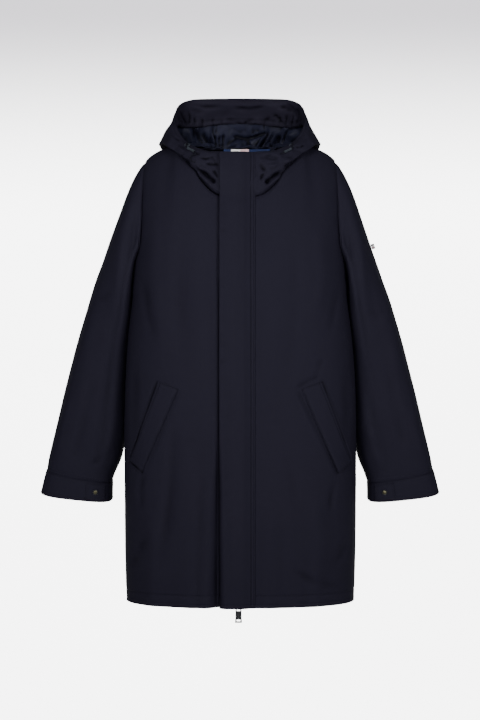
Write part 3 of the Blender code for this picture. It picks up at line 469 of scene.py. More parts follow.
def startMaterial(name, **values):
    material = bpy.data.materials.new(name)
    material.use_nodes = True
    tree = material.node_tree
    shader = tree.nodes["Principled BSDF"]
    for socket, value in values.items():
        shader.inputs[socket.replace("_", " ")].default_value = value
    place = tree.nodes.new("ShaderNodeTexCoord")
    return material, tree, shader, place


clothFinishes = dict(
    # two tones, threads a metre and how strongly they stand out, and the crinkle's size, depth and strength
    outerCloth=dict(tones=((0.0073, 0.0067, 0.0118), (0.0096, 0.0088, 0.0150)), threads=2600.0, weave=0.30,
                    crinkle=(85.0, 0.00050, 0.22), roughness=(0.56, 0.66), sheen=0.0, shine=0.018),
    # the facing is the outer cloth with lighter tones: painted light, as the facing slopes down, away from
    # the lamps
    facingCloth=dict(tones=((0.0096, 0.0086, 0.0148), (0.0124, 0.0112, 0.0186)), threads=2600.0, weave=0.30,
                     crinkle=(85.0, 0.00050, 0.22), roughness=(0.56, 0.66), sheen=0.0, shine=0.018),
    liningCloth=dict(tones=((0.0090, 0.0096, 0.0200), (0.0130, 0.0138, 0.0275)), threads=3200.0, weave=0.22,
                     crinkle=(60.0, 0.00110, 0.40), roughness=(0.44, 0.56), sheen=0.0, shine=0.075),
    neckTapeWeave=dict(tones=((0.0010, 0.0070, 0.0420), (0.0016, 0.0105, 0.0600)), threads=1100.0, weave=0.80,
                       crinkle=(120.0, 0.00020, 0.20), roughness=(0.55, 0.70), sheen=0.010, shine=0.20),
    zipTapeWeave=dict(tones=((0.0045, 0.0045, 0.0055), (0.0075, 0.0075, 0.0090)), threads=1500.0, weave=0.80,
                      crinkle=(120.0, 0.00020, 0.20), roughness=(0.60, 0.75), sheen=0.010, shine=0.15),
    stitchThread=dict(tones=((0.0068, 0.0064, 0.0110), (0.0105, 0.0100, 0.0160)), threads=4000.0, weave=0.60,
                      crinkle=(500.0, 0.00010, 0.30), roughness=(0.50, 0.65), sheen=0.0, shine=0.05),
)
allCloth = dict(weaveShare=0.45, weaveDepth=0.00012, hollow=0.3)    # hollow: how dark the bottom of a fold is


def makeCloth(name):
    look = clothFinishes[name]
    material, tree, shader, place = startMaterial(
        name, Sheen_Weight=look["sheen"], Specular_IOR_Level=look["shine"])
    weave = addGroup(tree, weaveGroup, place.outputs["UV"], Threads=look["threads"])
    uneven = addGroup(tree, unevenGroup, place.outputs["Object"], Grain=look["crinkle"][0])
    shade = average(tree, weave.outputs["Shade"], uneven.outputs["Patch"], allCloth["weaveShare"])
    dips = tree.nodes.new("ShaderNodeAttribute")    # little light reaches the bottom of a fold
    dips.attribute_name = "dips"
    hollow = tuple(allCloth["hollow"] * tone for tone in look["tones"][0])
    tone = mixed(tree, dips.outputs["Fac"], mixed(tree, shade, *look["tones"]), hollow)
    tree.links.new(tone, shader.inputs["Base Color"])
    tree.links.new(ranged(tree, uneven.outputs["Patch"], *look["roughness"]), shader.inputs["Roughness"])
    crinkled = bumped(tree, uneven.outputs["Fine"], *look["crinkle"][1:])
    woven = bumped(tree, weave.outputs["Height"], allCloth["weaveDepth"], look["weave"], crinkled)
    tree.links.new(woven, shader.inputs["Normal"])
    return material


metalFinishes = dict(
    gunMetal=dict(tones=((0.0050, 0.0053, 0.0062), (0.0130, 0.0136, 0.0158)),
                  roughness=(0.34, 0.50), metallic=0.5),
    slateLock=dict(tones=((0.020, 0.025, 0.032), (0.048, 0.056, 0.068)),
                   roughness=(0.30, 0.44), metallic=0.5),
    snapMetal=dict(tones=((0.006, 0.006, 0.007), (0.013, 0.013, 0.014)),
                   roughness=(0.34, 0.48), metallic=0.6),
    # the snap's middle: a lighter olive metal, a painted highlight on the cap's top
    snapCentrePaintedHighlight=dict(tones=((0.034, 0.032, 0.018), (0.060, 0.056, 0.034)),
                    roughness=(0.30, 0.44), metallic=0.8),
    zipTeeth=dict(tones=((0.010, 0.010, 0.012), (0.022, 0.022, 0.026)),
                  roughness=(0.32, 0.48), metallic=0.0),
)
allMetal = dict(patches=220.0, grain=2400.0, patchShare=0.6, dents=(0.00008, 0.25), shine=0.2)


def makeMetal(name):
    look = metalFinishes[name]
    material, tree, shader, place = startMaterial(
        name, Metallic=look["metallic"], Specular_IOR_Level=allMetal["shine"])
    uneven = addGroup(tree, unevenGroup, place.outputs["Object"],
                      Patches=allMetal["patches"], Grain=allMetal["grain"])
    wear = average(tree, uneven.outputs["Patch"], uneven.outputs["Fine"], allMetal["patchShare"])
    tree.links.new(mixed(tree, wear, *look["tones"]), shader.inputs["Base Color"])
    tree.links.new(ranged(tree, uneven.outputs["Fine"], *look["roughness"]), shader.inputs["Roughness"])
    tree.links.new(bumped(tree, uneven.outputs["Fine"], *allMetal["dents"]), shader.inputs["Normal"])
    return material


labelLook = dict(threads=1800.0, gaps=(0.10, 0.10, 0.11), gapShare=0.22, roughness=(0.60, 0.75),
                 bump=(0.00015, 0.6), shine=0.1)


def makeLabelWeave(name, bands, axis):    # bands: (from here on, colour) along one axis of the UV map
    material, tree, shader, place = startMaterial(name, Specular_IOR_Level=labelLook["shine"])
    weave = addGroup(tree, weaveGroup, place.outputs["UV"], Threads=labelLook["threads"])
    axes = axesOf(tree, place.outputs["UV"])
    colour = bands[0][1]
    for begin, tone in bands[1:]:
        colour = mixed(tree, mathNode(tree, "GREATER_THAN", axes[axis], begin), colour, tone)
    gaps = ranged(tree, weave.outputs["Shade"], 0.0, labelLook["gapShare"])
    tree.links.new(mixed(tree, gaps, colour, labelLook["gaps"]), shader.inputs["Base Color"])
    tree.links.new(ranged(tree, weave.outputs["Shade"], *labelLook["roughness"]), shader.inputs["Roughness"])
    tree.links.new(bumped(tree, weave.outputs["Height"], *labelLook["bump"]), shader.inputs["Normal"])
    return material


braidLook = dict(strands=8.0, crossings=900.0, tones=((0.0015, 0.0015, 0.0025), (0.0060, 0.0060, 0.0095)),
                 roughness=(0.80, 0.55), bump=(0.0003, 0.8), shine=0.03)


def makeCordWeave():    # a round braid: strands cross in diamonds, in lengths round and along the cord
    material, tree, shader, place = startMaterial("cordBraid", Specular_IOR_Level=braidLook["shine"])
    axes = axesOf(tree, place.outputs["UV"])
    strands = []
    for turn in (1.0, -1.0):
        slant = mathNode(tree, "ADD", mathNode(tree, "MULTIPLY", axes[0], braidLook["strands"] * turn),
                         mathNode(tree, "MULTIPLY", axes[1], braidLook["crossings"]))
        wave = mathNode(tree, "SINE", mathNode(tree, "MULTIPLY", slant, math.pi))
        strands.append(mathNode(tree, "ABSOLUTE", wave))
    height = mathNode(tree, "MAXIMUM", *strands)
    tree.links.new(mixed(tree, height, *braidLook["tones"]), shader.inputs["Base Color"])
    tree.links.new(ranged(tree, height, *braidLook["roughness"]), shader.inputs["Roughness"])
    tree.links.new(bumped(tree, height, *braidLook["bump"]), shader.inputs["Normal"])
    return material


cloth = {name: makeCloth(name) for name in clothFinishes}
metal = {name: makeMetal(name) for name in metalFinishes}
print("finishes made")


# the coat's own folds, seen from before or from behind: x and z along each, its width and depth, and where
# they aren't the usual ones, the shares of its length it takes to fade in and out, and how much it widens

bodyFolds = dict(before=[
    # wearer's right front
    ([(-0.129, -0.545), (-0.139, -0.68), (-0.16, -0.87)], 0.015, 0.0045),
    ([(-0.196, -0.655), (-0.203, -0.7), (-0.201, -0.75)], 0.008, 0.003),
    ([(-0.188, -0.79), (-0.21, -0.83), (-0.226, -0.87)], 0.013, 0.004),
    ([(-0.044, -0.54), (-0.045, -0.74), (-0.0465, -0.94)], 0.0045, 0.013, 0.6, 0.0, 1.5),
    ([(-0.06, -0.62), (-0.066, -0.78), (-0.072, -0.94)], 0.01, -0.003, 0.5, 0.0),
    ([(-0.074, -0.17), (-0.082, -0.33), (-0.076, -0.53)], 0.026, -0.003),
    ([(-0.112, -0.13), (-0.124, -0.29), (-0.116, -0.46)], 0.02, 0.0024),
    ([(-0.168, -0.12), (-0.178, -0.26), (-0.16, -0.42)], 0.019, -0.0028),
    ([(-0.098, -0.62), (-0.103, -0.78), (-0.099, -0.94)], 0.025, -0.0034, 0.3, 0.0),
    ([(-0.182, -0.72), (-0.176, -0.82), (-0.181, -0.94)], 0.017, -0.0026, 0.4, 0.0),
    ([(-0.2, -0.26), (-0.188, -0.34), (-0.17, -0.41)], 0.01, 0.0024),
    ([(-0.215, -0.42), (-0.219, -0.55), (-0.214, -0.63)], 0.012, 0.0028),
    # wearer's left front
    ([(0.196, -0.672), (0.186, -0.71), (0.181, -0.755)], 0.007, 0.0026),
    ([(0.094, -0.848), (0.15, -0.886), (0.216, -0.9)], 0.009, 0.0032),
    ([(0.222, -0.8), (0.206, -0.835), (0.184, -0.862)], 0.011, 0.0028),
    ([(0.062, -0.19), (0.068, -0.36), (0.06, -0.55)], 0.024, -0.0024),
    ([(0.104, -0.15), (0.112, -0.31), (0.1, -0.5)], 0.02, 0.0022),
    ([(0.16, -0.14), (0.166, -0.27), (0.152, -0.38)], 0.018, -0.0026),
    ([(0.092, -0.6), (0.112, -0.73), (0.12, -0.86)], 0.02, 0.0024),
    ([(0.15, -0.69), (0.16, -0.8), (0.152, -0.94)], 0.019, -0.003, 0.3, 0.0),
    ([(0.06, -0.66), (0.063, -0.8), (0.058, -0.94)], 0.016, -0.0022, 0.4, 0.0),
    ([(0.204, -0.27), (0.19, -0.35), (0.176, -0.4)], 0.01, 0.0022),
    ([(0.218, -0.44), (0.221, -0.54), (0.216, -0.62)], 0.012, 0.0026),
    ([(0.152, -0.47), (0.162, -0.445), (0.17, -0.43)], 0.006, 0.0016),
    # beside the pocket welts' outer and lower edges
    ([(-0.1672, -0.477), (-0.1975, -0.559), (-0.229, -0.641)], 0.0036, 0.0034, 0.05, 0.05),
    ([(-0.2285, -0.643), (-0.212, -0.656), (-0.196, -0.6675)], 0.0034, 0.003, 0.1, 0.1),
    ([(-0.121, -0.496), (-0.156, -0.578), (-0.193, -0.665)], 0.003, 0.0018, 0.1, 0.1),
    ([(0.115, -0.496), (0.159, -0.584), (0.202, -0.674)], 0.0036, 0.0034, 0.05, 0.05),
    ([(0.114, -0.493), (0.137, -0.48), (0.161, -0.468)], 0.0034, 0.003, 0.1, 0.1),
    ([(0.163, -0.47), (0.197, -0.559), (0.231, -0.648)], 0.003, 0.0018, 0.1, 0.1),
], behind=[
    ([(-0.01, -0.14), (-0.016, -0.34), (-0.008, -0.6)], 0.026, -0.003),
    ([(-0.062, -0.1), (-0.072, -0.29), (-0.06, -0.48)], 0.02, 0.003),
    ([(0.058, -0.12), (0.064, -0.33), (0.05, -0.55)], 0.022, 0.0028),
    ([(-0.12, -0.13), (-0.134, -0.27), (-0.114, -0.41)], 0.016, -0.0026),
    ([(0.118, -0.11), (0.132, -0.26), (0.118, -0.44)], 0.016, -0.0028),
    ([(-0.186, -0.22), (-0.16, -0.31), (-0.126, -0.37)], 0.01, 0.0034),
    ([(0.188, -0.23), (0.158, -0.33), (0.13, -0.38)], 0.01, 0.003),
    ([(-0.08, -0.58), (-0.092, -0.75), (-0.086, -0.94)], 0.024, -0.0036, 0.3, 0.0),
    ([(0.03, -0.61), (0.04, -0.77), (0.036, -0.94)], 0.022, 0.0032, 0.3, 0.0),
    ([(0.12, -0.56), (0.136, -0.76), (0.128, -0.94)], 0.024, -0.0034, 0.3, 0.0),
    ([(-0.16, -0.6), (-0.172, -0.78), (-0.18, -0.92)], 0.014, 0.0034),
    ([(-0.03, -0.68), (-0.024, -0.8), (-0.03, -0.94)], 0.016, 0.0026, 0.4, 0.0),
    ([(0.18, -0.62), (0.19, -0.74), (0.186, -0.87)], 0.013, 0.003),
    ([(-0.11, -0.055), (-0.06, -0.075), (-0.01, -0.07)], 0.012, 0.002),
    ([(0.12, -0.05), (0.07, -0.08), (0.02, -0.078)], 0.012, 0.0018),
])
sleeveFolds = dict(before=[
    # wearer's right sleeve
    ([(-0.214, -0.1), (-0.219, -0.2), (-0.226, -0.3)], 0.009, 0.004),
    ([(-0.236, -0.14), (-0.246, -0.25), (-0.262, -0.36)], 0.014, -0.0036),
    ([(-0.252, -0.36), (-0.268, -0.48), (-0.288, -0.6)], 0.012, 0.005),
    ([(-0.292, -0.22), (-0.308, -0.34), (-0.33, -0.46)], 0.018, -0.0034),
    ([(-0.3, -0.46), (-0.322, -0.55), (-0.35, -0.65)], 0.014, 0.003, 0.35, 0.1),
    ([(-0.262, -0.54), (-0.276, -0.61), (-0.296, -0.67)], 0.01, -0.0034),
    ([(-0.286, -0.635), (-0.3, -0.65), (-0.316, -0.655)], 0.006, 0.003),
    ([(-0.352, -0.5), (-0.372, -0.58), (-0.388, -0.65)], 0.012, -0.0024),
    ([(-0.262, -0.29), (-0.284, -0.31), (-0.306, -0.3)], 0.01, 0.0018),
    # wearer's left sleeve
    ([(0.216, -0.11), (0.221, -0.21), (0.227, -0.31)], 0.009, 0.0038),
    ([(0.238, -0.13), (0.25, -0.26), (0.266, -0.38)], 0.014, -0.0034),
    ([(0.25, -0.38), (0.264, -0.5), (0.284, -0.6)], 0.011, 0.0046),
    ([(0.296, -0.26), (0.314, -0.37), (0.338, -0.49)], 0.018, -0.0034),
    ([(0.304, -0.44), (0.326, -0.54), (0.346, -0.63)], 0.014, 0.0028, 0.35, 0.2),
    ([(0.268, -0.56), (0.28, -0.62), (0.302, -0.67)], 0.01, -0.0032),
    ([(0.356, -0.53), (0.374, -0.6), (0.39, -0.66)], 0.012, -0.0022),
    ([(0.262, -0.33), (0.286, -0.345), (0.308, -0.33)], 0.01, 0.0018),
], behind=[
    ([(-0.222, -0.13), (-0.232, -0.24), (-0.246, -0.35)], 0.012, 0.0042),
    ([(0.222, -0.14), (0.234, -0.26), (0.246, -0.37)], 0.012, 0.004),
    ([(-0.262, -0.16), (-0.282, -0.28), (-0.3, -0.42)], 0.018, -0.0034),
    ([(0.264, -0.18), (0.286, -0.3), (0.306, -0.44)], 0.018, -0.0036),
    ([(-0.252, -0.4), (-0.29, -0.43), (-0.33, -0.42)], 0.012, 0.003),
    ([(0.252, -0.41), (0.292, -0.45), (0.334, -0.44)], 0.012, 0.0032),
    ([(-0.29, -0.5), (-0.316, -0.58), (-0.344, -0.66)], 0.014, 0.0034, 0.3, 0.1),
    ([(0.292, -0.51), (0.32, -0.59), (0.342, -0.66)], 0.014, 0.0032, 0.3, 0.1),
    ([(-0.33, -0.36), (-0.352, -0.46), (-0.374, -0.56)], 0.014, -0.0026),
    ([(0.334, -0.38), (0.354, -0.47), (0.376, -0.57)], 0.014, -0.0026),
])
hoodFolds = dict(before=[
    # the wings, with the deep dark folds beside the placket
    ([(-0.096, -0.044), (-0.072, -0.06), (-0.049, -0.08)], 0.005, 0.0085, 0.5, 0.15),
    ([(0.092, -0.052), (0.07, -0.064), (0.05, -0.081)], 0.0048, 0.008, 0.45, 0.15),
    ([(-0.074, -0.0385), (-0.056, -0.041), (-0.0385, -0.04)], 0.0035, 0.002),
    ([(-0.137, 0.0), (-0.126, -0.014), (-0.113, -0.026)], 0.008, 0.0026),
    ([(0.146, -0.018), (0.126, -0.015), (0.104, -0.01)], 0.0075, 0.0024),
    ([(0.0363, -0.027), (0.06, -0.026), (0.0847, -0.03)], 0.006, 0.0022),
    ([(0.0847, -0.03), (0.105, -0.033), (0.122, -0.04)], 0.006, -0.0022),
    ([(0.0386, -0.0363), (0.046, -0.049), (0.055, -0.06)], 0.0055, 0.002),
    ([(-0.15, -0.005), (-0.14, 0.018), (-0.128, 0.038)], 0.009, -0.0018),
    ([(0.148, 0.002), (0.14, 0.022), (0.13, 0.04)], 0.009, -0.0018),
    ([(-0.142, 0.03), (-0.13, 0.018), (-0.12, 0.01)], 0.0034, 0.0016),
    ([(-0.13, 0.006), (-0.118, -0.002), (-0.108, -0.012)], 0.0032, 0.0018),
    ([(-0.12, -0.024), (-0.108, -0.03), (-0.096, -0.04)], 0.0034, 0.0022),
    ([(-0.1, -0.012), (-0.088, -0.018), (-0.078, -0.02)], 0.003, 0.0016),
    ([(-0.086, -0.026), (-0.07, -0.03), (-0.052, -0.026)], 0.003, 0.0018),
    ([(-0.09, -0.04), (-0.078, -0.052), (-0.064, -0.056)], 0.003, -0.0016),
    ([(-0.06, -0.02), (-0.052, -0.032), (-0.048, -0.044)], 0.003, 0.0016),
    ([(-0.056, -0.05), (-0.05, -0.06), (-0.044, -0.07)], 0.003, 0.0022),
    ([(0.138, 0.034), (0.128, 0.022), (0.116, 0.016)], 0.0034, 0.0016),
    ([(0.134, 0.004), (0.122, -0.002), (0.11, -0.004)], 0.003, 0.0016),
    ([(0.108, -0.018), (0.094, -0.02), (0.08, -0.016)], 0.003, 0.0018),
    ([(0.11, -0.028), (0.098, -0.04), (0.088, -0.048)], 0.0034, 0.002),
    ([(0.08, -0.038), (0.068, -0.044), (0.056, -0.044)], 0.003, -0.0016),
    ([(0.07, -0.018), (0.056, -0.022), (0.044, -0.02)], 0.003, 0.0016),
    ([(0.05, -0.056), (0.044, -0.066), (0.04, -0.076)], 0.003, 0.0022),
], behind=[
    ([(-0.085, 0.01), (-0.045, -0.03), (-0.006, -0.048)], 0.014, 0.005),
    ([(0.09, 0.012), (0.05, -0.026), (0.012, -0.046)], 0.014, 0.0046),
    ([(-0.12, 0.06), (-0.07, 0.034), (-0.02, 0.026)], 0.016, -0.004),
    ([(0.124, 0.062), (0.076, 0.038), (0.026, 0.024)], 0.016, -0.0038),
    ([(-0.06, 0.105), (-0.02, 0.08), (0.03, 0.084)], 0.013, 0.0028),
    ([(-0.04, -0.085), (0.0, -0.098), (0.044, -0.086)], 0.012, 0.0034),
])
facingFolds = dict(before=[
    ([(0.098, 0.122), (0.118, 0.104), (0.129, 0.082)], 0.0036, 0.005, 0.3, 0.1),
    ([(0.08, 0.118), (0.101, 0.112), (0.122, 0.11)], 0.0034, 0.0034),
    ([(0.066, 0.106), (0.082, 0.096), (0.096, 0.08)], 0.003, 0.0036, 0.4, 0.0),
    ([(0.124, 0.108), (0.127, 0.095), (0.124, 0.078)], 0.003, 0.004, 0.3, 0.0),
    ([(-0.118, 0.12), (-0.08, 0.116), (-0.03, 0.119)], 0.004, 0.0026),
    ([(-0.02, 0.118), (0.02, 0.115), (0.064, 0.119)], 0.004, 0.0024),
    ([(-0.116, 0.104), (-0.11, 0.094), (-0.112, 0.08)], 0.0028, 0.0034, 0.3, 0.0),
    ([(-0.086, 0.094), (-0.082, 0.086), (-0.084, 0.076)], 0.0026, 0.003, 0.4, 0.0),
    ([(-0.044, 0.094), (-0.04, 0.086), (-0.043, 0.076)], 0.0026, 0.0032, 0.4, 0.0),
    ([(0.014, 0.093), (0.012, 0.086), (0.015, 0.076)], 0.0026, 0.003, 0.4, 0.0),
    ([(0.032, 0.092), (0.035, 0.084), (0.033, 0.076)], 0.0024, 0.0028, 0.4, 0.0),
    ([(0.088, 0.12), (0.112, 0.108), (0.133, 0.09)], 0.005, 0.0045),
    ([(0.104, 0.101), (0.102, 0.088), (0.099, 0.076)], 0.0034, 0.0028, 0.4, 0.0),
    ([(0.089, 0.099), (0.088, 0.088), (0.086, 0.078)], 0.003, 0.0022, 0.4, 0.0),
    ([(0.117, 0.1), (0.116, 0.087), (0.111, 0.074)], 0.0034, 0.003, 0.4, 0.0),
    ([(-0.133, 0.1), (-0.125, 0.088), (-0.118, 0.078)], 0.004, 0.0036, 0.4, 0.0),
    ([(-0.105, 0.097), (-0.1, 0.086), (-0.099, 0.078)], 0.0032, 0.0022, 0.4, 0.0),
    ([(-0.128, 0.115), (-0.1, 0.108), (-0.07, 0.106)], 0.006, 0.0016),
    ([(-0.033, 0.096), (-0.015, 0.09), (0.004, 0.087)], 0.004, 0.0024, 0.4, 0.2),
    ([(0.038, 0.095), (0.02, 0.09), (0.002, 0.088)], 0.004, 0.002, 0.4, 0.2),
    ([(0.07, 0.098), (0.056, 0.09), (0.052, 0.079)], 0.0036, 0.002, 0.4, 0.0),
    ([(-0.062, 0.096), (-0.059, 0.087), (-0.06, 0.078)], 0.0034, 0.002, 0.4, 0.0),
])
liningFolds = dict(before=[
    # puffs and the folds that fan between them
    ([(-0.116, 0.074), (-0.109, 0.048), (-0.101, 0.022)], 0.009, -0.0045),
    ([(-0.104, 0.076), (-0.089, 0.05), (-0.07, 0.025)], 0.0034, 0.005, 0.15, 0.3),
    ([(-0.097, 0.076), (-0.08, 0.05), (-0.062, 0.023)], 0.0036, -0.004, 0.15, 0.3),
    ([(-0.094, 0.072), (-0.072, 0.044), (-0.052, 0.015)], 0.0056, 0.01, 0.2, 0.25),
    ([(-0.066, 0.062), (-0.064, 0.042), (-0.059, 0.023)], 0.0032, 0.0044, 0.25, 0.25),
    ([(-0.057, 0.062), (-0.055, 0.044), (-0.05, 0.026)], 0.0028, 0.0036, 0.25, 0.25),
    ([(-0.047, 0.061), (-0.046, 0.045), (-0.044, 0.029)], 0.0028, 0.0036, 0.25, 0.25),
    ([(-0.061, 0.061), (-0.059, 0.043), (-0.0545, 0.026)], 0.0028, -0.0026),
    ([(-0.037, 0.064), (-0.038, 0.044), (-0.04, 0.026)], 0.003, 0.003, 0.2, 0.3),
    ([(-0.016, 0.05), (-0.008, 0.035), (-0.004, 0.022)], 0.017, -0.006),
    ([(0.014, 0.06), (0.019, 0.04), (0.026, 0.02)], 0.004, 0.005),
    ([(-0.022, 0.061), (0.014, 0.052), (0.066, 0.066)], 0.0045, 0.005),
    ([(0.027, 0.064), (0.03, 0.06), (0.042, 0.064)], 0.006, -0.004),
    ([(0.064, 0.064), (0.053, 0.044), (0.041, 0.023)], 0.0032, 0.0052, 0.2, 0.25),
    ([(0.056, 0.064), (0.045, 0.044), (0.034, 0.024)], 0.0032, -0.0034),
    ([(0.075, 0.065), (0.065, 0.045), (0.053, 0.022)], 0.0032, 0.0048, 0.2, 0.25),
    ([(0.07, 0.065), (0.059, 0.045), (0.047, 0.023)], 0.003, -0.0034),
    ([(0.09, 0.062), (0.08, 0.04), (0.066, 0.016)], 0.0056, 0.0095, 0.3, 0.2),
    ([(0.122, 0.07), (0.112, 0.046), (0.1, 0.022)], 0.01, -0.005),
    ([(0.108, 0.072), (0.1, 0.054), (0.092, 0.036)], 0.0034, 0.004),
    ([(-0.05, 0.017), (0.0, 0.012), (0.052, 0.017)], 0.006, 0.003),
    # on down the wings, over the shoulders and in the bag
    ([(-0.125, 0.01), (-0.108, -0.004), (-0.09, -0.015)], 0.006, 0.0036),
    ([(0.125, 0.008), (0.106, -0.006), (0.088, -0.017)], 0.006, 0.0036),
    ([(-0.09, -0.026), (-0.07, -0.04), (-0.05, -0.048)], 0.006, 0.003),
    ([(0.086, -0.03), (0.066, -0.042), (0.046, -0.048)], 0.006, 0.003),
], behind=[
    ([(-0.08, 0.086), (-0.064, 0.04), (-0.05, -0.01)], 0.01, -0.004),
    ([(0.082, 0.084), (0.066, 0.038), (0.052, -0.012)], 0.01, -0.004),
])


# which walls become fine cloth. A plan starts at the wall's corner nearest to start, and its first row runs
# towards the second point. A seam: its edge, how far the cloth sinks there, over what width, how much it
# puckers, and grooves at their distances from the edge, with their own depth and width where they have them.

bodyAxis, neckAxis = (0.0, -0.01, -0.5), (0.0, 0.0, 0.05)
hemMarks = sheetLook["marks"] + (0.0215, 0.0230, 0.0240, 0.0250, 0.0265)
besidePlacketMarks = (0.0305, 0.0318, 0.0328, 0.0340, 0.0355)
placketMarks = (0.0008, 0.0018, 0.0030, 0.0042, 0.0060, 0.0078, 0.0090, 0.0102)
bodySeams = [("end", 0.0016, 0.0040, 0.0010, (0.0065,)),
             ("first", 0.0, 0.003, 0.0012, (0.0240, 0.0012, 0.0012)),
             ("last", 0.0012, 0.0035, 0.0008, (0.0065,))]
hoodSeams = [("first", 0.0020, 0.0050, 0.0022), ("end", 0.0010, 0.0030, 0.0006, (0.0050,)),
             ("last", 0.0, 0.003, 0.0016, (0.0060, 0.0008, 0.0011))]
liningSeams = [("last", 0.0016, 0.006, 0.0030), ("end", 0.0030, 0.006, 0.0022), ("first", 0.0, 0.004, 0.0016)]
sheetPlans = dict(
    front=dict(
        pair=True, start=(-0.009, -0.141, -0.935), toward=(-0.05, -0.14, -0.935), columns=10, wall=0.003,
        centre=bodyAxis, folds=bodyFolds, step=0.0042, flat=(0.32, 1.00), area=0.265,
        marks=hemMarks + besidePlacketMarks,
        seams=bodySeams + [("start", 0.0, 0.003, 0.0, (0.0328, 0.0042, 0.0016))],
        left=dict(marks=hemMarks, seams=bodySeams)),
    back=dict(
        pair=True, start=(0.0, 0.133, -0.935), toward=(-0.03, 0.133, -0.935), columns=10, wall=0.003,
        centre=bodyAxis, folds=bodyFolds, step=0.0065, flat=(0.33, 1.02), area=0.29, marks=hemMarks,
        seams=bodySeams + [("start", 0.0012, 0.0035, 0.0008, (0.0065,))]),
    sleeve=dict(
        pair=True, start=(-0.1985, -0.005, -0.021), toward=(-0.2, -0.05, -0.04), columns=18, wall=0.003,
        centre=(-0.31, 0.02, -0.40), closed=True, folds=sleeveFolds, step=0.0050, flat=(0.66, 0.69),
        area=0.24,
        seams=[("first", 0.0022, 0.0055, 0.0014), ("last", 0.0016, 0.0040, 0.0016, (0.0050,), (0.0100,))]),
    cuff=dict(
        pair=True, start=(-0.411, 0.045, -0.667), toward=(-0.40, 0.03, -0.667), columns=24, wall=0.003,
        centre=(-0.345, 0.045, -0.70), closed=True, step=0.0025, flat=(0.40, 0.048),
        seams=[("first", 0.0010, 0.0030, 0.0006, (0.0040,)), ("last", 0.0, 0.003, 0.0006, (0.0050,))]),
    cuff_tab=dict(
        pair=True, start=(-0.33, -0.01, -0.69), toward=(-0.30, 0.0, -0.70), columns=3, wall=0.0015,
        centre=(-0.345, 0.045, -0.70), step=0.0015, flat=(0.043, 0.034),
        seams=[("start", 0.0, 0.003, 0.0, (0.0030,)), ("end", 0.0, 0.003, 0.0, (0.0030,))]),
    hood_side=dict(
        pair=True, start=(-0.009, -0.127, -0.105), toward=(-0.03, -0.124, -0.104), columns=9, wall=0.002,
        centre=neckAxis, folds=hoodFolds, step=0.0022, flat=(0.32, 0.19), area=0.027, seams=hoodSeams),
    hood_centre=dict(
        start=(-0.098, 0.05, 0.012), toward=(-0.08, 0.06, 0.012), columns=9, wall=0.002,
        centre=neckAxis, folds=hoodFolds, flat=(0.47, 0.45), area=0.138,
        seams=[("first", 0.0020, 0.0050, 0.0010), ("start", 0.0010, 0.0030, 0.0006, (0.0050,)),
               ("end", 0.0010, 0.0030, 0.0006, (0.0050,)), ("last", 0.0, 0.003, 0.0005, (0.0060,))]),
    hood_facing=dict(
        start=(-0.009, -0.11, -0.036), toward=(-0.04, -0.105, -0.034), columns=25, wall=0.0015,
        centre=neckAxis, inside=True, folds=facingFolds, step=0.0025, flat=(0.97, 0.062), area=0.036,
        seams=[("first", -0.0030, 0.0100, 0.0042, (0.0120, 0.0012, 0.0012)),
               ("last", 0.0006, 0.003, 0.0010, (0.0060,))]),
    lining_side=dict(
        pair=True, start=(-0.009, -0.121, -0.1), toward=(-0.03, -0.118, -0.1), columns=12, wall=0.002,
        thinWall=0.0012, centre=neckAxis, inside=True, folds=liningFolds, step=0.0018, flat=(0.45, 0.31),
        area=0.050, seams=liningSeams),
    lining_centre=dict(
        start=(-0.022, 0.075, 0.018), toward=(0.0, 0.08, 0.018), columns=3, wall=0.002,
        thinWall=0.0012, centre=neckAxis, inside=True, folds=liningFolds, step=0.0020, flat=(0.12, 0.35),
        area=0.037, seams=liningSeams + [("start", 0.0030, 0.006, 0.0022)]),
    placket=dict(
        start=(-0.041, -0.147, -0.935), toward=(-0.02, -0.147, -0.935), columns=7, wall=0.0022, top=-0.0140,
        centre=bodyAxis, folds=bodyFolds, step=0.0035, flat=(0.076, 0.94), marks=placketMarks,
        seams=[("end", 0.0012, 0.0016, 0.0006, (0.0030, 0.0012, 0.0009), (0.0090, 0.0014, 0.0009)),
               ("start", 0.0, 0.003, 0.0007)]),
    zip_tape=dict(
        start=(-0.009, -0.141, -0.935), toward=(-0.003, -0.141, -0.935), columns=3, wall=0.003,
        centre=bodyAxis, folds=bodyFolds, step=0.008, flat=(0.012, 0.93)),
    pocket_welt=dict(
        pair=True, start=(-0.124, -0.11, -0.496), toward=(-0.146, -0.11, -0.488), columns=3, wall=0.0015,
        centre=bodyAxis, folds=bodyFolds, step=0.002, flat=(0.054, 0.190),
        seams=[("end", 0.0, 0.003, 0.0006, (0.0090, 0.0010, 0.0010)),
               ("start", 0.0008, 0.003, 0.0004, (0.0020,)),
               ("first", 0.0008, 0.002, 0.0, (0.0020,)), ("last", 0.0008, 0.002, 0.0, (0.0020,))]),
    neck_tape=dict(
        start=(-0.036, 0.08, 0.0014), toward=(-0.02, 0.08, 0.0014), columns=13, wall=0.001,
        centre=neckAxis, inside=True, step=0.002, flat=(0.100, 0.014)),
    neck_label=dict(
        start=(-0.02, 0.08, -0.0036), toward=(-0.01, 0.08, -0.0036), columns=6, wall=0.001,
        centre=neckAxis, inside=True, step=0.002, flat=(0.038, 0.019)),
)


def bothSides(plans):    # a pair's plan is the right one, and the left one mirrors it
    whole = {}
    for name, plan in plans.items():
        if plan.get("pair"):
            mirrored = {key: (-plan[key][0], *plan[key][1:]) for key in ("start", "toward", "centre")}
            whole |= {f"{name}_right": plan, f"{name}_left": plan | mirrored | plan.get("left", {})}
        else:
            whole[name] = plan
    return whole


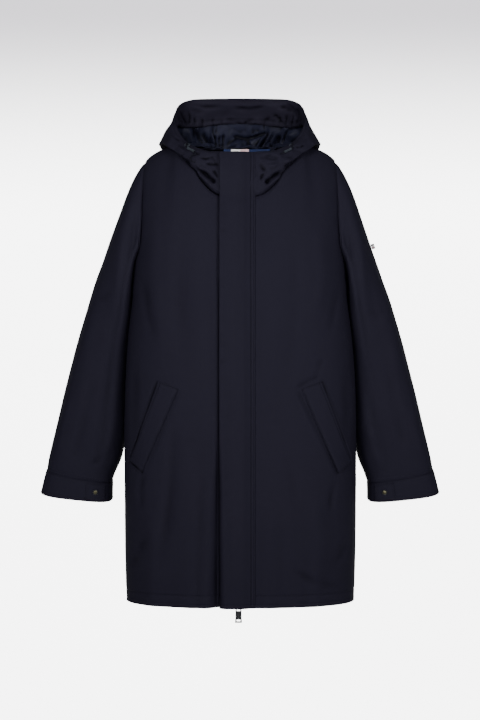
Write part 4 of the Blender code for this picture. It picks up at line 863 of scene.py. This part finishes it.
sheetPlans = bothSides(sheetPlans)
# the facing takes the outer cloth painted lighter, painted light for its downward slope
sheetFinishes = dict(lining="liningCloth", hood_facing="facingCloth", neck_tape="neckTapeWeave",
                     zip_tape="zipTapeWeave")
waves = dict(
    # size, height and seed of the cloth's soft unevenness, by what it is
    body=[((0.080, 0.16, 0.26), 0.0018, 3), ((0.034, 0.07, 0.10), 0.0006, 4)],
    hood=[((0.050, 0.06, 0.040), 0.0012, 5), ((0.020, 0.03, 0.016), 0.0004, 6)],
    hood_facing=[((0.035, 0.05, 0.018), 0.0010, 7)],
    lining=[((0.022, 0.03, 0.030), 0.0024, 8), ((0.010, 0.014, 0.014), 0.0009, 9)],
)

# where the hood's cord comes out: eyelets, the cord's lock on each side and the cord's way through it
cordHardware = dict(
    right=dict(
        eyelet=(-0.1081, -0.0812, 0.0032), outwards=(-0.038, -0.585, 0.810),
        lock=((-0.1071, -0.0937, -0.0047), (-0.0929, -0.1047, -0.0132)),
        cord=((-0.1081, -0.0804, 0.0021), (-0.1082, -0.0817, 0.0038), (-0.1083, -0.0834, 0.0062),
              (-0.1099, -0.0915, -0.0030), (-0.1071, -0.0937, -0.0047), (-0.1000, -0.0992, -0.0090),
              (-0.0929, -0.1047, -0.0132), (-0.0914, -0.1058, -0.0140), (-0.0887, -0.1079, -0.0182),
              (-0.0932, -0.1071, -0.0202), (-0.1006, -0.1055, -0.0245), (-0.0997, -0.1064, -0.0312),
              (-0.0929, -0.1094, -0.0359), (-0.0895, -0.1107, -0.0341)),
    ),
    left=dict(
        eyelet=(0.1065, -0.0827, 0.0018), outwards=(0.040, -0.607, 0.794),
        lock=((0.1043, -0.0957, -0.0064), (0.0898, -0.1063, -0.0149)),
        cord=((0.1064, -0.0819, 0.0007), (0.1065, -0.0832, 0.0024), (0.1066, -0.0850, 0.0048),
              (0.1073, -0.0935, -0.0047), (0.1043, -0.0957, -0.0064), (0.0971, -0.1010, -0.0106),
              (0.0898, -0.1063, -0.0149), (0.0883, -0.1073, -0.0157), (0.0854, -0.1092, -0.0194)),
    ),
)


def byStart(name, table, otherwise):    # the entry whose key the name starts with
    keys = sorted((key for key in table if name.startswith(key)), key=len)
    return table[keys[-1]] if keys else otherwise


def roomBehind(points, normals, pieces, reach=0.030, before=0.012):
    # how far each point can sink before it meets one of the pieces
    room = np.full(points.shape[:-1], reach)
    for piece in pieces:
        faces = [list(p.vertices) for p in piece.data.polygons]
        tree = BVHTree.FromPolygons([v.co for v in piece.data.vertices], faces)
        for place in np.ndindex(room.shape):
            start = Vector(points[place] + before * normals[place])
            away = tree.ray_cast(start, Vector(-normals[place]), before + reach)[3]
            if away is not None:
                room[place] = min(room[place], away - before)
    return room


# how the cloth swells off its wall: gain is how much stronger its waves and folds are than their tables say
rimCalm = dict(least=0.25, reach=0.022)
hoodSidePuff = dict(gain=1.9, slack=0.0024, deepest=0.0010, inner=0.0010, besidePlacket=0.0070,
                    placketSide=(0.038, 0.020), lockSide=(0.012, 0.014))
facingPuff = dict(gain=1.7, slack=0.0042, deepest=0.0008)
liningPuff = dict(gain=2.1, slack=0.0030, clear=0.0004, rimPush=0.0016, push=0.0100)
sleevePuff = dict(closing=0.0060, below=-0.15, above=-0.685, fade=0.05)


def puffHoodSide(sheet, height):    # only the folds beside the placket are deep
    look, edges, points = hoodSidePuff, sheet["edges"], sheet["base"]
    x, z = points[..., 0], points[..., 2]
    besidePlacket = rise(-np.abs(x), -0.115, 0.03) * rise(-z, 0.028, 0.016)
    front = easeIn(-1.6 * sheet["baseNormals"][..., 1])
    slack = rise(edges["last"], 0.0, 0.010) * rise(edges["first"], 0.0, 0.012) * front
    slack *= rise(np.abs(x + 0.005), *look["placketSide"])    # flat by the placket and under the cord's locks
    for hardware in cordHardware.values():
        away = np.linalg.norm(points - np.mean(hardware["lock"], axis=0), axis=-1)
        slack *= rise(away, *look["lockSide"])
    inner = rise(edges["last"], 0.030, 0.020)
    lowest = -look["deepest"] - look["inner"] * inner - look["besidePlacket"] * besidePlacket
    return np.maximum(look["gain"] * height + look["slack"] * slack, lowest)


def puffFacing(sheet, height):
    look, edges = facingPuff, sheet["edges"]
    slack = rise(edges["last"], 0.0, 0.016) * rise(edges["first"], 0.0, 0.004)
    return np.maximum(look["gain"] * height + look["slack"] * slack, -look["deepest"])


def puffLining(sheet, height):    # most at the back, and never through the hood behind it
    look, edges = liningPuff, sheet["edges"]
    free = rise(edges["last"], 0.012, 0.020)
    atBack = rise(sheet["base"][..., 1], 0.02, 0.05)
    height = look["gain"] * height * atBack + look["slack"] * free * rise(edges["first"], 0.0, 0.02)
    outer = [piece for name, piece in cloths.items() if name.startswith(("hood_side", "hood_centre"))]
    pushed = sheet["wall"] + look["clear"] - roomBehind(sheet["base"], sheet["baseNormals"], outer)
    most = look["rimPush"] + look["push"] * free
    return np.maximum(height, np.where(pushed > 0.0, np.minimum(pushed, most), pushed * free))


def puffSleeve(sheet, height):    # the padding closes the gap between the arm and the body
    look, x, z = sleevePuff, sheet["base"][..., 0], sheet["base"][..., 2]
    inner = easeIn(-sheet["baseNormals"][..., 0] * np.sign(x) * 1.6)
    middle = rise(-z, -look["below"], look["fade"]) * rise(z, look["above"], look["fade"])
    return height + look["closing"] * inner * middle


puffs = dict(hood_side=puffHoodSide, hood_facing=puffFacing, lining=puffLining, sleeve=puffSleeve)


def puffUp(name, sheet, plan):
    points, normals = sheet["base"], sheet["baseNormals"]
    height = np.zeros(sheet["down"].shape)
    if not name.startswith(("cuff", "neck_")):
        for size, tall, seed in byStart(name, waves, waves["body"]):
            height += tall * softNoise(points, size, seed)
        height += creaseHeight(points, normals, plan.get("folds", {}))
    if name.startswith(("hood_side", "hood_centre", "lining")):    # calm near the rim, which the facing holds
        least = rimCalm["least"]
        height *= least + (1.0 - least) * rise(sheet["edges"]["last"], 0.0, rimCalm["reach"])
    puff = byStart(name, puffs, None)
    if puff:
        height = puff(sheet, height)
    return height + seamHeight(sheet, plan.get("seams", []))


# how deep a fold is when no light reaches its bottom
foldDepths = dict(hood_side=0.0017, hood_facing=0.0030, lining=0.0011, placket=0.0011, pocket=0.0011,
                  cuff=0.0016, sleeve=0.0090, other=0.0060)
neckLabelBands = [(0.0, (0.78, 0.77, 0.76)), (0.020, (0.62, 0.42, 0.44))]
sheets, cloths = {}, {}
for name, plan in sheetPlans.items():
    sheet = sheets[name] = fineSheet(name, plan)
    sheet["deep"] = byStart(name, foldDepths, foldDepths["other"])
    raiseSheet(sheet, puffUp(name, sheet, plan))
    if name == "neck_label":
        finish = makeLabelWeave("labelWeave", neckLabelBands, 0)
    else:
        finish = cloth[byStart(name, sheetFinishes, "outerCloth")]
    piece = cloths[name] = makeSheet(f"{name}_cloth", sheet, finish)
    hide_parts(name)
print("cloth made")


# modelling by hand: everything starts from nothing selected

def deselect():
    if bpy.context.mode != "OBJECT":
        bpy.ops.object.mode_set(mode="OBJECT")
    bpy.ops.object.select_all(action="DESELECT")


def choose(piece, test, kind="FACE"):    # selects the faces or edges that pass a test, in edit mode
    bpy.ops.mesh.select_mode(type=kind)
    bpy.ops.mesh.select_all(action="DESELECT")
    built = bmesh.from_edit_mesh(piece.data)
    for element in built.faces if kind == "FACE" else built.edges:
        element.select_set(bool(test(element)))
    built.select_flush_mode()
    bmesh.update_edit_mesh(piece.data)


def startRod(sides, radius, length):    # along Z, left in edit mode
    deselect()
    bpy.ops.mesh.primitive_cylinder_add(vertices=sides, radius=radius, depth=length)
    bpy.ops.object.mode_set(mode="EDIT")
    return bpy.context.object


def startBox(width, depth, height):    # left in edit mode
    deselect()
    bpy.ops.mesh.primitive_cube_add(size=1.0)
    bpy.ops.object.mode_set(mode="EDIT")
    bpy.ops.mesh.select_all(action="SELECT")
    bpy.ops.transform.resize(value=(width, depth, height))
    return bpy.context.object


def finishPiece(piece, name, finish, place=(0.0, 0.0, 0.0), facing=None, body="coat", smooth=35.0):
    deselect()
    piece.select_set(True)
    bpy.context.view_layer.objects.active = piece
    piece.name = piece.data.name = name
    if facing is not None:
        piece.rotation_euler = Vector(facing).to_track_quat("Z", "Y").to_euler()
    piece.location = place
    for step in list(piece.modifiers):
        bpy.ops.object.modifier_apply(modifier=step.name)
    bpy.ops.object.transform_apply(location=True, rotation=True, scale=True)
    bpy.ops.object.shade_smooth_by_angle(angle=math.radians(smooth))
    piece.data.materials.clear()
    piece.data.materials.append(finish)
    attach(piece, body)
    return piece


def bevelled(piece, width, segments=2):    # back in object mode, with rounded edges
    bpy.ops.object.mode_set(mode="OBJECT")
    step = piece.modifiers.new("bevel", "BEVEL")
    step.width, step.segments = width, segments
    step.limit_method, step.angle_limit = "ANGLE", math.radians(35.0)


def holeThrough(bar):    # joins the two chosen faces by a hole, with a bar left round it
    bpy.ops.mesh.inset(thickness=bar)
    bpy.ops.mesh.bridge_edge_loops()


def makeEyelet(name, place, facing):
    eyelet = dict(outer=0.0061, hole=0.0033, depth=0.0016, rounding=0.0005, sides=28)
    ring = startRod(eyelet["sides"], eyelet["outer"], eyelet["depth"])
    choose(ring, lambda f: abs(f.normal.z) > 0.9)
    holeThrough(eyelet["outer"] - eyelet["hole"])
    bevelled(ring, eyelet["rounding"], 3)
    piece = finishPiece(ring, name, metal["slateLock"], place, facing)
    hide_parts(name.removesuffix("_ring"))


def makeLock(name, start, end):
    lock = dict(radius=0.0025, bore=0.0018, waist=0.84, lip=0.0012, rounding=0.0003, sides=28)
    axis = Vector(end) - Vector(start)
    lipLevel = axis.length / 2 - lock["lip"]
    tube = startRod(lock["sides"], lock["radius"], axis.length)
    for level in (-lipLevel, 0.0, lipLevel):
        bpy.ops.mesh.select_all(action="SELECT")
        bpy.ops.mesh.bisect(plane_co=(0.0, 0.0, level), plane_no=(0.0, 0.0, 1.0))
    choose(tube, lambda e: all(abs(v.co.z) < 1e-5 for v in e.verts), "EDGE")
    bpy.ops.transform.resize(value=(lock["waist"], lock["waist"], 1.0))
    choose(tube, lambda f: abs(f.normal.z) > 0.9)
    holeThrough(lock["radius"] - lock["bore"])
    bevelled(tube, lock["rounding"])
    piece = finishPiece(tube, name, metal["slateLock"], (Vector(start) + Vector(end)) / 2, axis)
    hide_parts(name.removesuffix("_barrel"))
    return piece


def makeSnap(name, place, facing):
    snap = dict(radius=0.0055, height=0.0019, rounding=0.0003, sides=32, seam=0.0004,
                steps=((0.0013, -0.0007), (0.0011, 0.0006), (0.0012, 0.0003)))    # ring width, then step up
    cap = startRod(snap["sides"], snap["radius"], snap["height"])
    choose(cap, lambda f: f.normal.z > 0.9)
    for width, step in snap["steps"]:
        bpy.ops.mesh.inset(thickness=width)
        bpy.ops.transform.translate(value=(0.0, 0.0, step))
    bevelled(cap, snap["rounding"])
    piece = finishPiece(cap, name, metal["snapMetal"], place, facing)
    # the middle of the cap's top takes the lighter olive finish: a painted highlight
    piece.data.materials.append(metal["snapCentrePaintedHighlight"])
    middle = snap["radius"] - snap["steps"][0][0] - snap["seam"]
    for face in piece.data.polygons:
        if (face.center - Vector(place)).length < middle and face.normal.dot(Vector(facing)) > 0.6:
            face.material_index = 1
    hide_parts(name.removesuffix("_cap"))


def boxCentre(node):
    low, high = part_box(node)
    return (low + high) / 2


# eyelets, cords and their locks, where the hood's cord comes out

cordLook = dict(diameter=0.0028, step=0.0006, sides=16)


def makeCord(name, route, finish):
    # a round tube along a smooth route, with its lengths round and along it as the UV map
    line = finerAlong(np.array(route)[:, None, :], cordLook["step"])[:, 0]
    ahead = unit(np.gradient(line, axis=0))
    aside = unit(np.cross(ahead[0], (0.3, 1.0, 0.2)))
    around, radius = cordLook["sides"], cordLook["diameter"] / 2
    built = bmesh.new()
    layer = built.loops.layers.uv.new("cord")
    angles, rings = np.linspace(0.0, 2.0 * math.pi, around, endpoint=False), []
    for point, direction in zip(line, ahead):
        aside = unit(aside - direction * (aside @ direction))
        other = np.cross(direction, aside)
        rings.append([built.verts.new(point + radius * (math.cos(a) * aside + math.sin(a) * other))
                      for a in angles])
    lengths = lengthsAlong(line)
    for r in range(len(line) - 1):
        for c in range(around):
            corners = [(r, c), (r, c + 1), (r + 1, c + 1), (r + 1, c)]
            face = built.faces.new([rings[i][j % around] for i, j in corners])
            for loop, (i, j) in zip(face.loops, corners):
                loop[layer].uv = (j / around, lengths[i])
    built.faces.new(rings[0][::-1])
    built.faces.new(rings[-1])
    bmesh.ops.recalc_face_normals(built, faces=built.faces)
    mesh = bpy.data.meshes.new(name)
    built.to_mesh(mesh)
    built.free()
    mesh.shade_smooth()
    return addPiece(name, mesh, finish), line, float(lengths[-1])


cordBraid = makeCordWeave()
for side, pieces in cordHardware.items():
    makeEyelet(f"eyelet_{side}_ring", pieces["eyelet"], pieces["outwards"])
    lock = makeLock(f"cord_lock_{side}_barrel", *pieces["lock"])
    piece, line, length = makeCord(f"drawcord_{side}_braid", pieces["cord"], cordBraid)
    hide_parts(f"drawcord_{side}")

for side in sides:    # a snap faces the way its solid's largest front face does
    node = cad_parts[f"cuff_snap_{side}"]
    widest = max(node.data.polygons, key=lambda p: p.area * (p.normal.y < -0.5))
    makeSnap(f"cuff_snap_{side}_cap", boxCentre(f"cuff_snap_{side}"), widest.normal)
print("hardware made")


# the small woven tab in the left sleeve's seam: a folded loop, striped across

def makeSleeveTab():
    tab = dict(out=0.0074, along=0.0112, thick=0.0012, lean=0.35, inwards=0.0020, rounding=0.00045,
               foldedEnd=(1.25, 0.97),
               bands=[(0.0, (0.010, 0.009, 0.014)), (0.0032, (0.36, 0.17, 0.19)),
                      (0.0044, (0.46, 0.45, 0.45)), (0.0078, (0.010, 0.009, 0.014))])
    loop = startBox(tab["out"], tab["thick"], tab["along"])
    choose(loop, lambda f: f.normal.x > 0.9)
    bpy.ops.transform.resize(value=(1.0, *tab["foldedEnd"]))
    bevelled(loop, tab["rounding"], 3)
    finish = makeLabelWeave("tabWeave", tab["bands"], 1)
    piece = finishPiece(loop, "sleeve_tab_loop", finish, smooth=20.0)
    layer = piece.data.uv_layers.active or piece.data.uv_layers.new(name="cloth")
    for corner in piece.data.loops:
        place = piece.data.vertices[corner.vertex_index].co
        layer.data[corner.index].uv = (place.x + tab["out"] / 2, place.z + tab["along"] / 2)
    centre = boxCentre("sleeve_tab") - Vector((tab["inwards"], 0.0, 0.0))
    piece.data.transform(Matrix.Translation(centre) @ Matrix.Rotation(-tab["lean"], 4, "Y"))
    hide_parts("sleeve_tab")


makeSleeveTab()


# small things by the hundred: one is modelled, and its copies are joined into one piece

def takeShape(piece):    # its points and faces, and the object goes
    bpy.ops.object.mode_set(mode="OBJECT")
    shape = np.array([v.co for v in piece.data.vertices]), [list(p.vertices) for p in piece.data.polygons]
    bpy.data.objects.remove(piece, do_unlink=True)
    return shape


def joinCopies(name, shape, frames, finish, smooth=False):    # a frame: a place and its three axes
    points, faces = shape
    vertices = [place + points @ np.array(axes) for place, *axes in frames]
    polygons = [[k * len(points) + i for i in face] for k in range(len(frames)) for face in faces]
    mesh = bpy.data.meshes.new(name)
    mesh.from_pydata(np.concatenate(vertices).tolist(), [], polygons)
    built = bmesh.new()
    built.from_mesh(mesh)
    bmesh.ops.recalc_face_normals(built, faces=built.faces)
    built.to_mesh(mesh)
    built.free()
    if smooth:
        mesh.shade_smooth()
    return addPiece(name, mesh, finish)


# stitches in rows along the seams

stitchLook = dict(length=0.0027, pitch=0.0034, thick=0.00042, sink=0.30)


def modelStitch():    # of unit size: a short rod with pointed ends
    rod = dict(sides=5, radius=0.5, length=0.8, taper=0.24)
    stitch = startRod(rod["sides"], rod["radius"], rod["length"])
    choose(stitch, lambda f: abs(f.normal.z) > 0.9)
    bpy.ops.mesh.inset(thickness=rod["taper"], use_individual=True)
    bpy.ops.transform.resize(value=(1.0, 1.0, 1.0 / rod["length"]), center_override=(0.0, 0.0, 0.0))
    return takeShape(stitch)


def insetLine(sheet, edge, inset, begin=0.0, end=1.0):
    # points and normals on the sheet at one distance from an edge
    away = sheet["edges"][edge]
    points, normals = sheet["points"], sheet["normals"]
    if edge in ("start", "end"):
        away, points, normals = away.T, points.transpose(1, 0, 2), normals.transpose(1, 0, 2)
    if edge in ("last", "end"):
        away, points, normals = away[::-1], points[::-1], normals[::-1]
    found = []
    for c in range(away.shape[1]):
        k = int(np.clip(np.searchsorted(away[:, c], inset) - 1, 0, len(away) - 2))
        t = (inset - away[k, c]) / max(away[k + 1, c] - away[k, c], 1e-9)
        found.append(np.concatenate([points[k, c] * (1 - t) + points[k + 1, c] * t,
                                     normals[k, c] * (1 - t) + normals[k + 1, c] * t]))
    found = np.array(found)
    if sheet["closed"]:
        found = np.concatenate([found, found[:1]])
    lengths = lengthsAlong(found[:, :3])
    at = np.arange(begin * lengths[-1] + 0.002, end * lengths[-1] - 0.002, stitchLook["pitch"])
    return np.stack([np.interp(at, lengths, found[:, k]) for k in range(6)], axis=-1)


def layStitches(name, rows):
    thick, frames = stitchLook["thick"], []
    for sheet, *where in rows:
        line = insetLine(sheets[sheet], *where)
        points, normals = line[:, :3], unit(line[:, 3:])
        ahead = unit(np.gradient(points, axis=0))
        aside = unit(np.cross(normals, ahead))
        frames += zip(points + normals * thick * (0.5 - stitchLook["sink"]),
                      aside * thick, normals * thick, ahead * stitchLook["length"])
    joinCopies(name, stitchShape, frames, cloth["stitchThread"], smooth=True)


stitchShape = modelStitch()
stitchRows = dict(
    # sheet, edge, distance from it, and where the row begins and ends
    placket=[("placket", "end", inset) for inset in (0.0025, 0.0090)],
    hem=[(name, "first", 0.0240) for name in ("front_right", "back_right", "back_left")]
        + [("front_left", "first", 0.0240, 0.13)],
    side_seams=[("back_right", "end", 0.0065, 0.03), ("back_left", "end", 0.0065, 0.03),
                ("back_right", "start", 0.0065, 0.03)],
    yoke_seams=[(f"{part}_{side}", "last", 0.0065) for part in ("front", "back") for side in sides],
    sleeve_ends=[(f"sleeve_{side}", "last", inset) for side in sides for inset in (0.005, 0.010)],
    cuffs=[(f"cuff_{side}", edge, inset) for side in sides
           for edge, inset in (("first", 0.004), ("last", 0.005))],
    cuff_tabs=[(f"cuff_tab_{side}", edge, 0.003, 0.05, 0.95) for side in sides
               for edge in ("start", "end", "first", "last")],
    welts=[(f"pocket_welt_{side}", edge, inset, 0.02, 0.98) for side in sides
           for edge, inset in (("end", 0.009), ("start", 0.002), ("first", 0.002), ("last", 0.002))],
    hood_seams=[("hood_centre", "start", 0.005), ("hood_centre", "end", 0.005),
                ("hood_centre", "last", 0.006), ("hood_side_right", "last", 0.006),
                ("hood_side_left", "last", 0.006, 0.16)],
    facing=[("hood_facing", "first", 0.0120), ("hood_facing", "last", 0.0060)],
)
for name, rows in stitchRows.items():
    layStitches(f"stitches_{name}", rows)
print("stitches made")


# the zip's teeth stand in two rows up the middle of its tape, and the placket covers them

def makeTeeth():
    tooth = dict(width=0.0030, tall=0.0011, proud=0.0013, pitch=0.0026, offset=0.0012, narrow=0.6, lift=0.35,
                 begin=0.016, end=0.004)
    one = startBox(tooth["width"], tooth["proud"], tooth["tall"])
    choose(one, lambda f: f.normal.x > 0.9)
    bpy.ops.transform.resize(value=(1.0, tooth["narrow"], tooth["narrow"]))
    sheet = sheets["zip_tape"]
    middle = sheet["points"].shape[1] // 2
    line, normals = sheet["points"][:, middle], sheet["normals"][:, middle]
    lengths, frames = lengthsAlong(line), []
    for side in (1.0, -1.0):
        begin = tooth["begin"] + (side > 0) * tooth["pitch"] / 2
        for at in np.arange(begin, lengths[-1] - tooth["end"], tooth["pitch"]):
            point = np.array([np.interp(at, lengths, line[:, k]) for k in range(3)])
            normal = unit(np.array([np.interp(at, lengths, normals[:, k]) for k in range(3)]))
            across = np.array([1.0, 0.0, 0.0]) * side
            place = point - across * tooth["offset"] + normal * tooth["proud"] * tooth["lift"]
            frames.append((place, across, normal, np.cross(normal, across)))
    joinCopies("zip_teeth", takeShape(one), frames, metal["zipTeeth"])


makeTeeth()
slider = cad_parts["zip_slider"].data
slider.materials.clear()
slider.materials.append(metal["gunMetal"])


def makePull():    # a plate with an eye above and a ring below
    pull = dict(width=0.0126, thick=0.0018, height=0.0290, eye=0.0066, ring=-0.0052, eyeBar=0.0026,
                ringBar=0.0030, eyeShare=0.90, ringShare=1.14, rounding=0.0004,
                place=(-0.0030, -0.1470, -0.9490))
    half = pull["height"] / 2
    plate = startBox(pull["width"], pull["thick"], pull["height"])
    for level in (pull["eye"], pull["ring"]):
        bpy.ops.mesh.select_all(action="SELECT")
        bpy.ops.mesh.bisect(plane_co=(0.0, 0.0, level), plane_no=(0.0, 0.0, 1.0))
    for level, share in ((half, pull["eyeShare"]), (-half, pull["ringShare"])):
        choose(plate, lambda f: abs(f.calc_center_median().z - level) < 1e-5)
        bpy.ops.transform.resize(value=(share, 1.0, 1.0))
    for low, high, bar in ((pull["eye"], half, pull["eyeBar"]), (-half, pull["ring"], pull["ringBar"])):
        choose(plate, lambda f: abs(f.normal.y) > 0.9 and low < f.calc_center_median().z < high)
        holeThrough(bar)
    bevelled(plate, pull["rounding"])
    piece = finishPiece(plate, "zip_pull_plate", metal["gunMetal"], pull["place"],
                        body="pull", smooth=20.0)
    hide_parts("zip_pull")


makePull()
print("zip made")


# a pale room, soft lamps and the camera in front

def makeStage():
    room = dict(floor=-1.30, wall=1.90, bend=1.10, front=-6.0, width=14.0, top=5.5, steps=24, glow=6.5,
                spill=0.25, fade=(0.00, 0.75), below=(0.92, 0.92, 0.92), above=(0.215, 0.208, 0.222))
    outline = [(room["front"], room["floor"])]
    for k in range(room["steps"] + 1):
        angle = 0.5 * math.pi * k / room["steps"]
        outline.append((room["wall"] - room["bend"] + room["bend"] * math.sin(angle),
                        room["floor"] + room["bend"] - room["bend"] * math.cos(angle)))
    outline.append((room["wall"], room["top"]))
    half = room["width"] / 2
    vertices = [(x, y, z) for y, z in outline for x in (-half, half)]
    faces = [(2 * k, 2 * k + 1, 2 * k + 3, 2 * k + 2) for k in range(len(outline) - 1)]
    mesh = bpy.data.meshes.new("backdrop")
    mesh.from_pydata(vertices, [], faces)
    mesh.shade_smooth()
    material, tree, shader, place = startMaterial("backdropPaper", Roughness=0.95, Specular_IOR_Level=0.1)
    rays = tree.nodes.new("ShaderNodeLightPath")    # it glows for the camera, and only a little on the coat
    glow = ranged(tree, rays.outputs["Is Camera Ray"], room["spill"], room["glow"])
    tree.links.new(glow, shader.inputs["Emission Strength"])
    climb = tree.nodes.new("ShaderNodeMapRange")
    climb.interpolation_type = "SMOOTHSTEP"
    climb.inputs["From Min"].default_value, climb.inputs["From Max"].default_value = room["fade"]
    tree.links.new(axesOf(tree, place.outputs["Object"])["Z"], climb.inputs["Value"])
    tone = mixed(tree, climb.outputs["Result"], room["below"], room["above"])
    tree.links.new(tone, shader.inputs["Base Color"])
    tree.links.new(tone, shader.inputs["Emission Color"])
    seenSide = tree.nodes.new("ShaderNodeNewGeometry")    # from outside the room it can be seen through
    tree.links.new(mathNode(tree, "SUBTRACT", 1.0, seenSide.outputs["Backfacing"]), shader.inputs["Alpha"])
    mesh.materials.append(material)
    backdrop = bpy.data.objects.new("backdrop", mesh)
    bpy.context.scene.collection.objects.link(backdrop)


lamps = dict(
    # place, what it is aimed at, width, height, power, spread in degrees
    keySoftbox=((-1.4, -3.0, 0.5), (0.0, 0.0, -0.22), 1.2, 1.2, 13.0, 60.0),
    fillSoftbox=((1.9, -2.7, 0.2), (0.15, 0.0, -0.25), 1.2, 1.4, 11.0, 60.0),
    topSoftbox=((0.0, -0.7, 2.0), (0.0, 0.0, -0.20), 2.0, 1.2, 6.0, 140.0),
    lowSoftbox=((0.0, -3.4, -1.05), (0.0, 0.1, 0.05), 1.0, 0.4, 5.0, 50.0),
)


def addLamp(name, place, target, width, height, power, spread):
    light = bpy.data.lights.new(name, "AREA")
    light.shape, light.size, light.size_y, light.energy = "RECTANGLE", width, height, power
    light.spread = math.radians(spread)
    lamp = bpy.data.objects.new(name, light)
    lamp.location = place
    lamp.rotation_euler = (Vector(target) - Vector(place)).to_track_quat("-Z", "Y").to_euler()
    bpy.context.scene.collection.objects.link(lamp)


def makeLight():
    air = dict(colour=(0.93, 0.96, 1.0, 1.0), strength=0.16)
    world = bpy.data.worlds.new("softRoom")
    world.use_nodes = True
    background = world.node_tree.nodes["Background"]
    background.inputs["Color"].default_value = air["colour"]
    background.inputs["Strength"].default_value = air["strength"]
    bpy.context.scene.world = world
    for name, values in lamps.items():
        addLamp(name, *values)


def makeCamera():
    cameraView = dict(place=(0.0, -3.2, -0.437), lens=76.2, sensor=36.0)
    data = bpy.data.cameras.new("camera")
    data.lens, data.sensor_width = cameraView["lens"], cameraView["sensor"]
    camera = bpy.data.objects.new("camera", data)
    camera.location = cameraView["place"]
    camera.rotation_euler = (math.radians(90.0), 0.0, 0.0)
    bpy.context.scene.collection.objects.link(camera)
    bpy.context.scene.camera = camera


makeStage()
makeLight()
makeCamera()
print("room, lamps and camera made")
